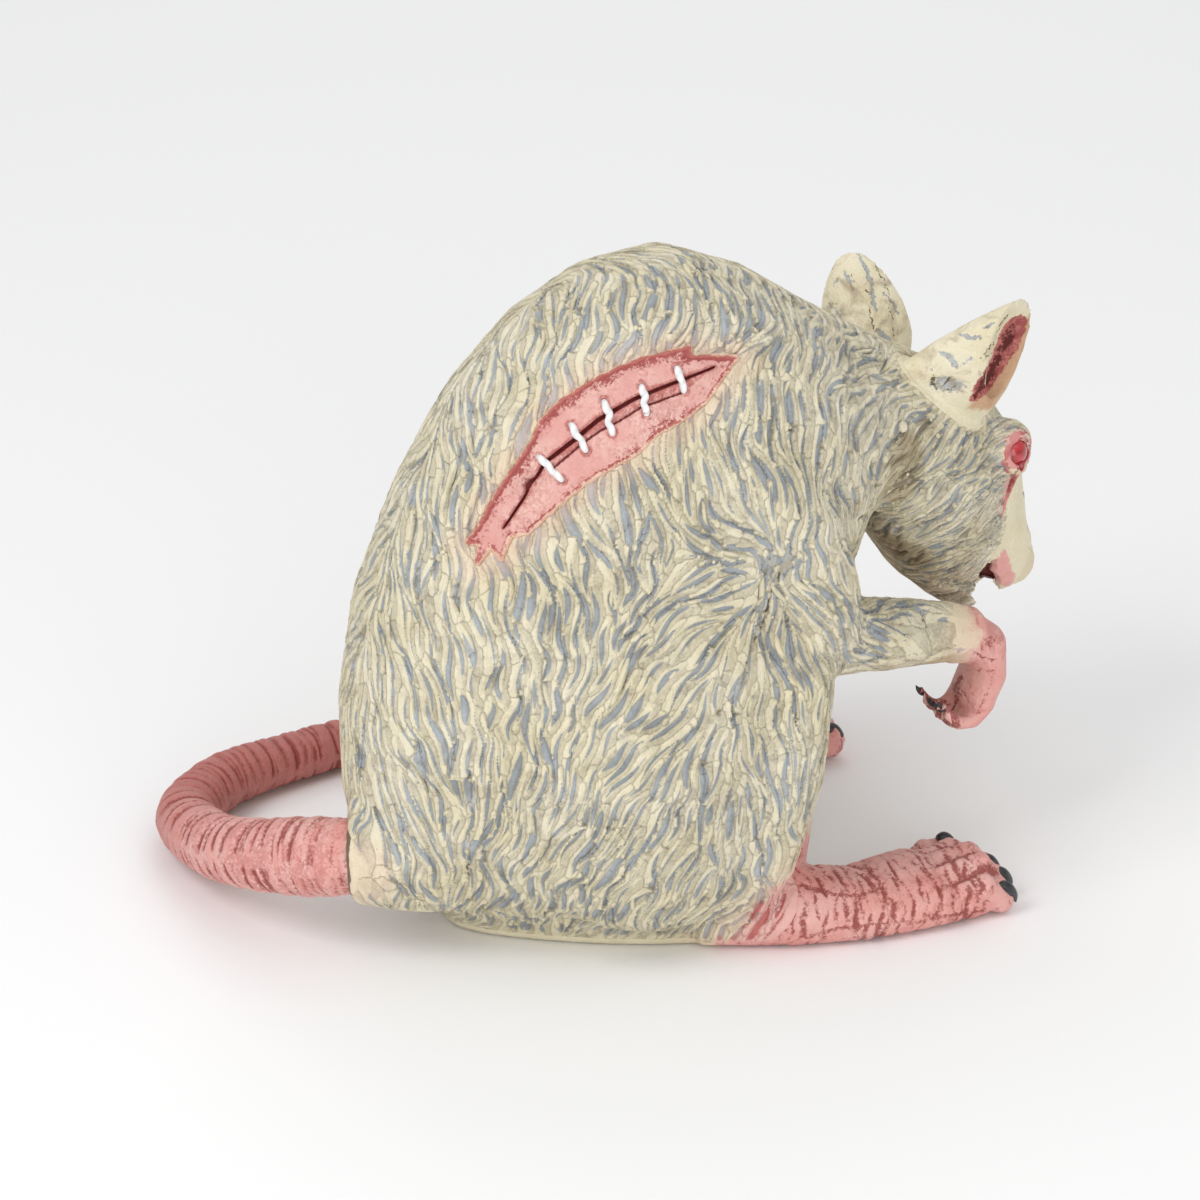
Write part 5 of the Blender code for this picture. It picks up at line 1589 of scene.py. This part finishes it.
def makeWound():
    setup = woundSetup
    sheet = woundSheet(setup)
    grid = np.array([v.co[:2] for v in sheet.verts])
    far, _ = fromLine(grid, setup["outline"], closed=True)
    far = far * photo["scale"] * np.where(inOutline(grid, setup["outline"]), -1, 1) + 0.16 * ripple(grid, 9, 3)
    slit, along = fromLine(grid, setup["slit"])
    slit = slit * photo["scale"]
    second, _ = fromLine(grid, setup["lower"])
    second = second * photo["scale"] + 0.08 * ripple(grid, 5, 14)
    strip = inOutline(grid, setup["slit"][2:] + setup["lower"][::-1]) * 1.0
    opening = 0.12 + 0.38 * np.sin(math.pi * np.clip(along, 0, 1)) ** 0.7
    ends = [np.array(p, float) for pair in stitchSetup["ends"] for p in pair]
    hole = np.min([np.linalg.norm(grid - e, axis=1) for e in ends], axis=0) * photo["scale"]
    wall = 1 - step(-setup["wall"], 0.1, far)  # 1 in the bed, 0 on the rim
    outer = step(0.3, setup["rimWidth"], far)
    bed = 0.30 * step(-0.6, -3.4, far) + 0.05 * ripple(grid, 26, 8)
    bed = bed - 0.22 * np.exp(-((far + 0.75) / 0.45) ** 2)
    bed = bed + 0.38 * np.exp(-((slit - opening - 0.55) / 0.6) ** 2)
    bed = bed - 1.0 * (1 - step(opening * 0.2, opening + 0.25, slit))
    bed = bed - strip * (0.22 + 0.12 * ripple(grid, 4, 15)) - 0.5 * (1 - step(0.12, 0.42, second))
    bed = bed - 0.85 * (1 - step(0.55, 1.0, hole)) + 0.28 * np.exp(-((hole - 1.25) / 0.4) ** 2)
    bed = np.maximum(bed, -1.0)
    rim = setup["rim"] * (1 - outer) - 1.0 * outer - 0.25 + 0.10 * ripple(grid, 12, 5)
    height = wall * bed + (1 - wall) * rim
    for vert, spot in zip(sheet.verts, laidOut(sheet, grid, height + setup["clear"], setup)):
        vert.co = Vector(spot) * mm
    upper = step(-2, 6, (grid[:, 1] - 150) - (grid[:, 0] - 10) * 0.72)  # the upper edge, where the painted shadow of the recess and the dark wash lie heaviest
    # inside the outline: a dark line of wash and painted shadow, and below it a soft band of painted shadow
    # from the recess's upper wall
    line = np.exp(-((far + 0.30) / (0.32 + 0.50 * upper)) ** 2) * (0.7 + 0.3 * upper)
    shade = step(-4.2, -0.2, far) * (0.34 + 0.40 * upper) * (0.75 + 0.5 * ripple(grid, 24, 9)) * (far < 0.4)
    values = dict(
        bed=wall, edge=np.clip(np.maximum(line, shade), 0, 1),
        slit=np.maximum.reduce([
            1 - step(opening * 0.5, opening + 0.4, slit), 0.75 * (1 - step(0.2, 0.5, second)),
            1 - step(0.6, 1.05, hole),
        ]),
        lips=np.maximum.reduce([
            np.exp(-((slit - opening - 0.4) / 0.45) ** 2), np.exp(-((hole - 1.3) / 0.45) ** 2), 0.85 * strip,
        ]),
    )
    mesh = meshFrom(sheet, "woundBed")
    for name, layer in values.items():
        setValue(mesh, name, layer)
    return mesh


woundPaint = dict(
    pink=(0.76, 0.36, 0.32), palePink=(0.86, 0.54, 0.47), rose=(0.60, 0.20, 0.18), lips=(0.48, 0.10, 0.085),
    edge=(0.36, 0.055, 0.05), rim=(0.50, 0.14, 0.11),
)
woundFinish = Finish("rawWound", Specular_IOR_Level=0.5)
f = woundFinish
bed, edge, slit, lips = f.attributes("bed edge slit lips")
speckle, broad, grain, grit = f.noise(620.0, 4.0), f.noise(80.0, 3.0), f.noise(1900.0, 2.0), f.grit()
bedTone = f.blend(broad.span(0.3, 0.7), woundPaint["pink"], woundPaint["palePink"])
bedTone = f.blend((broad * 1.3 - 0.15 + grit.sway(0.5)).span(0.45, 0.75) * 0.45, bedTone, woundPaint["rose"])
bedTone = f.blend((lips * 0.9 + grit.sway(0.7)).span(0.30, 1.0) * 0.75, bedTone, woundPaint["lips"])
# edge carries the wash and the painted shadow inside the outline
washed = (edge * 1.15 + grit.sway(0.9) + broad.sway(0.8)).span(0.32, 0.90) * 0.95
bedTone = f.blend(washed, bedTone, woundPaint["edge"])
bedTone = f.blend(slit.span(0.25, 0.8), bedTone, paint["blood"])
# the rim darkens towards the outline's wash and painted shadow
rimTone = f.blend((edge * 1.3 + grit.sway(0.8)).span(0.2, 0.7), paint["peach"], woundPaint["rim"])
f.feed("Base Color", f.blend(bed.span(0.2, 0.6), rimTone, bedTone))
f.feed("Roughness", 0.32 + speckle * 0.25)
f.relief(speckle + broad * 0.6 + grit * 0.5 + grain * 0.3, 0.0004, 0.9)
addPiece("woundBed", makeWound(), woundFinish)

cordPaint = dict(shade=(0.74, 0.75, 0.77), white=(0.93, 0.93, 0.92))
cordFinish = Finish("whiteCord", Specular_IOR_Level=0.5)
f = cordFinish
twist = (f.attribute("run") * 26.0 + f.attribute("turn")).sine()
f.feed("Base Color", f.blend(twist.span(-0.9, 0.2) * 0.8 + 0.2, cordPaint["shade"], cordPaint["white"]))
f.feed("Roughness", 0.28 + f.noise(700.0) * 0.2)
f.relief(twist * 0.5 + f.noise(900.0) * 0.5, 0.0003, 0.8)


def makeStitch(first, second, bend):
    # a cord that rises out of the bed, crosses the slit and goes in again
    setup = stitchSetup
    (a, outA), (b, outB) = throughPixel(first), throughPixel(second)
    rise = ((outA + outB) / 2 + viewBack).normalized()
    a, b = a + rise * woundSetup["clear"], b + rise * woundSetup["clear"]
    kink = (b - a).cross(rise).normalized() * bend
    route = [a - rise * setup["sunk"], a + rise * setup["foot"]]
    route += [a.lerp(b, share) + rise * height + kink * side for share, height, side in setup["along"]]
    route += [b + rise * setup["foot"], b - rise * setup["sunk"]]
    return tube([(*spot, width) for spot, width in zip(route, setup["widths"])], 48, 14)


for number, ((first, second), bend) in enumerate(zip(stitchSetup["ends"], stitchSetup["kinks"]), 1):
    stitch = makeStitch(first, second, bend)
    addPiece(f"stitch{number}", stitch, cordFinish, [f"stitch_{number}"])
stage("wound and stitches")


# eyes with swollen lids

eyePaint = dict(dark=(0.30, 0.004, 0.008), red=(0.62, 0.012, 0.02))
eyeFinish = Finish("redEye", Specular_IOR_Level=0.7, Coat_Roughness=0.04)
f = eyeFinish
cloud = f.noise(260.0, 4.0, warp=1.0)
f.feed("Base Color", f.blend(cloud.span(0.3, 0.7), eyePaint["dark"], eyePaint["red"]))
f.feed("Coat Weight", 0.9 - cloud * 0.1)
f.feed("Roughness", 0.10 + cloud * 0.08)
f.relief(cloud, 0.0002, 0.2)

lidSetup = dict(
    ring=3.6, sides=18, steps=72,
    opening=3.95, almond=0.55, waver=0.12,  # an almond opening that points down and forward
    fat=1.50, upper=0.40, lumps=0.10, high=2.35, corners=0.42,
    inner=(4.3, 5.7), dark=(0.50, 0.10, 0.10), pale=(0.76, 0.33, 0.30), edge=(0.34, 0.015, 0.02),
)
lidFinish = Finish("swollenLid", Specular_IOR_Level=0.5)
f = lidFinish
inner, speckle, broad = f.attribute("inner"), f.noise(700.0, 4.0), f.noise(160.0, 3.0)
lidTone = f.blend(broad.span(0.35, 0.6), lidSetup["dark"], lidSetup["pale"])
raw = (inner * 1.2 + speckle.sway(0.9) + broad.sway(0.8)).span(0.30, 0.90)
f.feed("Base Color", f.blend(raw, lidTone, lidSetup["edge"]))
f.feed("Roughness", 0.30 + speckle * 0.2)
f.relief(speckle + broad, 0.0003, 0.7)


def lidRing(side):
    # a ring about the Z axis, pressed into the shape of a lid
    setup = lidSetup
    ring = bmesh.new()
    bmesh.ops.create_circle(ring, segments=setup["sides"], radius=1.0)
    bmesh.ops.rotate(ring, verts=ring.verts, cent=(0, 0, 0), matrix=Matrix.Rotation(math.pi / 2, 3, "X"))
    bmesh.ops.translate(ring, verts=ring.verts, vec=(setup["ring"], 0, 0))
    full = dict(cent=(0, 0, 0), axis=(0, 0, 1), angle=2 * math.pi, steps=setup["steps"], use_merge=True)
    bmesh.ops.spin(ring, geom=ring.edges[:], **full)
    for vert in ring.verts:
        a = math.atan2(vert.co.y, vert.co.x)
        out = Vector((math.cos(a), math.sin(a), 0))
        across, high = vert.co.dot(out) - setup["ring"], vert.co.z
        reach = setup["opening"] + setup["almond"] * math.cos(a * 2 + 0.5 * side)
        reach += setup["waver"] * math.sin(a * 5)
        fat = setup["fat"] + setup["upper"] * math.sin(a + 0.4) + setup["lumps"] * math.sin(a * 7)
        rise = high * 0.95 * fat + setup["high"] - setup["corners"] * abs(math.cos(a))
        vert.co = out * (reach + across * fat) + Vector((0, 0, rise))
    return ring


def makeEyes():
    balls, lids = bmesh.new(), bmesh.new()
    for side, centre in zip((-1, 1), eyeCentres):
        centre = Vector(centre)
        facing = Vector((eyes["facing"][0], side * eyes["facing"][1], eyes["facing"][2])).normalized()
        turn = facing.to_track_quat("Z", "Y").to_matrix().to_4x4()
        spot = Matrix.Translation((centre + facing * 0.1) * mm)
        size = dict(u_segments=40, v_segments=24, radius=eyes["radius"] * mm)
        bmesh.ops.create_uvsphere(balls, matrix=spot @ turn, **size)
        ring = lidRing(side)
        spot = Matrix.Translation(centre * mm)
        bmesh.ops.transform(ring, verts=ring.verts, matrix=spot @ turn @ Matrix.Scale(mm, 4))
        absorb(lids, meshFrom(ring, "lid"))
    for shape in (balls, lids):
        bmesh.ops.recalc_face_normals(shape, faces=shape.faces)
    ballMesh, lidMesh = meshFrom(balls, "eyeballs"), meshFrom(lids, "lids")
    lidPlace = points(lidMesh)
    nearest = np.min([np.linalg.norm(lidPlace - centre, axis=1) for centre in eyeCentres], axis=0)
    setValue(lidMesh, "inner", 1 - step(*lidSetup["inner"], nearest))
    return ballMesh, lidMesh


ballMesh, lidMesh = makeEyes()
addPiece("eyeballs", ballMesh, eyeFinish, ["eye_right", "eye_left"])
addPiece("eyelids", lidMesh, lidFinish)
stage("eyes")


# the painted trickle of blood under each eye

streakSetup = dict(
    route=(  # pixel and width
        (1024, 457, 0.9), (1020, 467, 1.0), (1014, 477, 0.85), (1009, 487, 0.75), (1004, 499, 0.6),
        (1000, 508, 0.45), (997.5, 517, 0.1),
    ),
    stand=1.0, sunk=0.05, share=0.85, red=(0.66, 0.26, 0.23), dark=(0.30, 0.015, 0.02),
)
streakFinish = Finish("driedBlood", Specular_IOR_Level=0.5)
f = streakFinish
run, speckle, broad = f.attribute("run"), f.noise(900.0, 4.0), f.noise(300.0, 3.0)
dark = (0.95 - run + speckle.sway(0.9) + broad.sway(1.3)).span(0.2, 0.8)
f.feed("Base Color", f.blend(dark, streakSetup["red"], streakSetup["dark"]))
f.feed("Roughness", 0.3 + speckle * 0.25)
f.relief(speckle + broad, 0.0003, 0.8)


def makeStreaks():
    setup = streakSetup
    whole = bmesh.new()
    route = []
    for x, y, width in setup["route"]:
        hit, out = throughPixel(fromMiddle(x, y))
        spot = np.array([hit])
        cover = shellCover(spot, fromWound(spot), np.array([9.0]))[0]  # 9 mm or more from the ears
        route.append((*(hit + out * (setup["stand"] * cover + setup["sunk"])), width * setup["share"]))
    middle = eyes["place"][1]
    for side in (-1, 1):
        turned = [(x, middle + (y - middle) * -side, z, width) for x, y, z, width in route]
        absorb(whole, tube(turned, 60, 12))
    return outwards(meshFrom(whole, "streaks"))


addPiece("bloodStreaks", makeStreaks(), streakFinish)
stage("blood streaks")


# claws

clawSetup = dict(
    spread=(31.5, 38.5, 45.5, 52.5, 59.0), reach=(72.5, 76.0, 77.0, 76.5, 74.0), out=1.018,
    ahead={-1: 0.0, 1: 2.5}, turned={-1: 0.0, 1: 0.35},  # the left foot stands ahead and turned out
    back=(0.9, 0.8, 0.8, 0.8, 0.8), size=(1.0, 0.85, 0.85, 0.85, 0.85),
    toe=((-2.2, 8.2, 1.0), (-0.7, 7.9, 1.85), (1.0, 6.3, 1.9), (2.4, 4.3, 1.3)), point=(3.1, 2.3, 0.2),
    fingers=(0, 1.5, 1, -1.5), fingerStep=4.2, wrist={-1: (0, 0), 1: (-10, 13)},
    finger=((-0.9, 1.8, 0.5), (-1.5, 2.7, 0.80), (-2.3, 3.7, 0.60), (-3.0, 4.9, 0.1)),  # ahead, up, radius
    black=(0.012, 0.012, 0.014), grey=(0.035, 0.037, 0.045),
)
clawFinish = Finish("blackClaw", Specular_IOR_Level=0.6)
f = clawFinish
streak = f.noise(1.0, 3.0, vector=f.scaled(f.place(), (300.0, 1500.0, 300.0)))
f.feed("Base Color", f.blend(streak.span(0.4, 0.7), clawSetup["black"], clawSetup["grey"]))
f.feed("Roughness", 0.22 + streak * 0.2)
f.relief(streak, 0.0003, 0.6)


def makeClaws():
    setup = clawSetup
    routes = []
    for side in (-1, 1):
        for number, (spread, reach) in enumerate(zip(setup["spread"], setup["reach"])):
            ahead = setup["ahead"][side] - setup["turned"][side] * (spread - setup["spread"][0])
            x, y = reach + ahead - setup["back"][number], side * spread * setup["out"]
            size = setup["size"][number]
            rows = [(far, z, radius * size) for far, z, radius in setup["toe"]] + [setup["point"]]
            routes.append([(x + far, y, z, radius) for far, z, radius in rows])
        back, out = setup["wrist"][side]
        for i, curl in enumerate(setup["fingers"]):
            x, z = 72 + back + curl * 0.6, 42 - curl * 1.05
            y = side * (26 + out + setup["fingerStep"] * (i - 1.5))
            routes.append([(x + far, y, z + high, radius) for far, high, radius in setup["finger"]])
    whole = bmesh.new()
    for route in routes:
        absorb(whole, tube(route, 14, 14))
    return meshFrom(whole, "claws")


addPiece("claws", makeClaws(), clawFinish)
stage("claws")
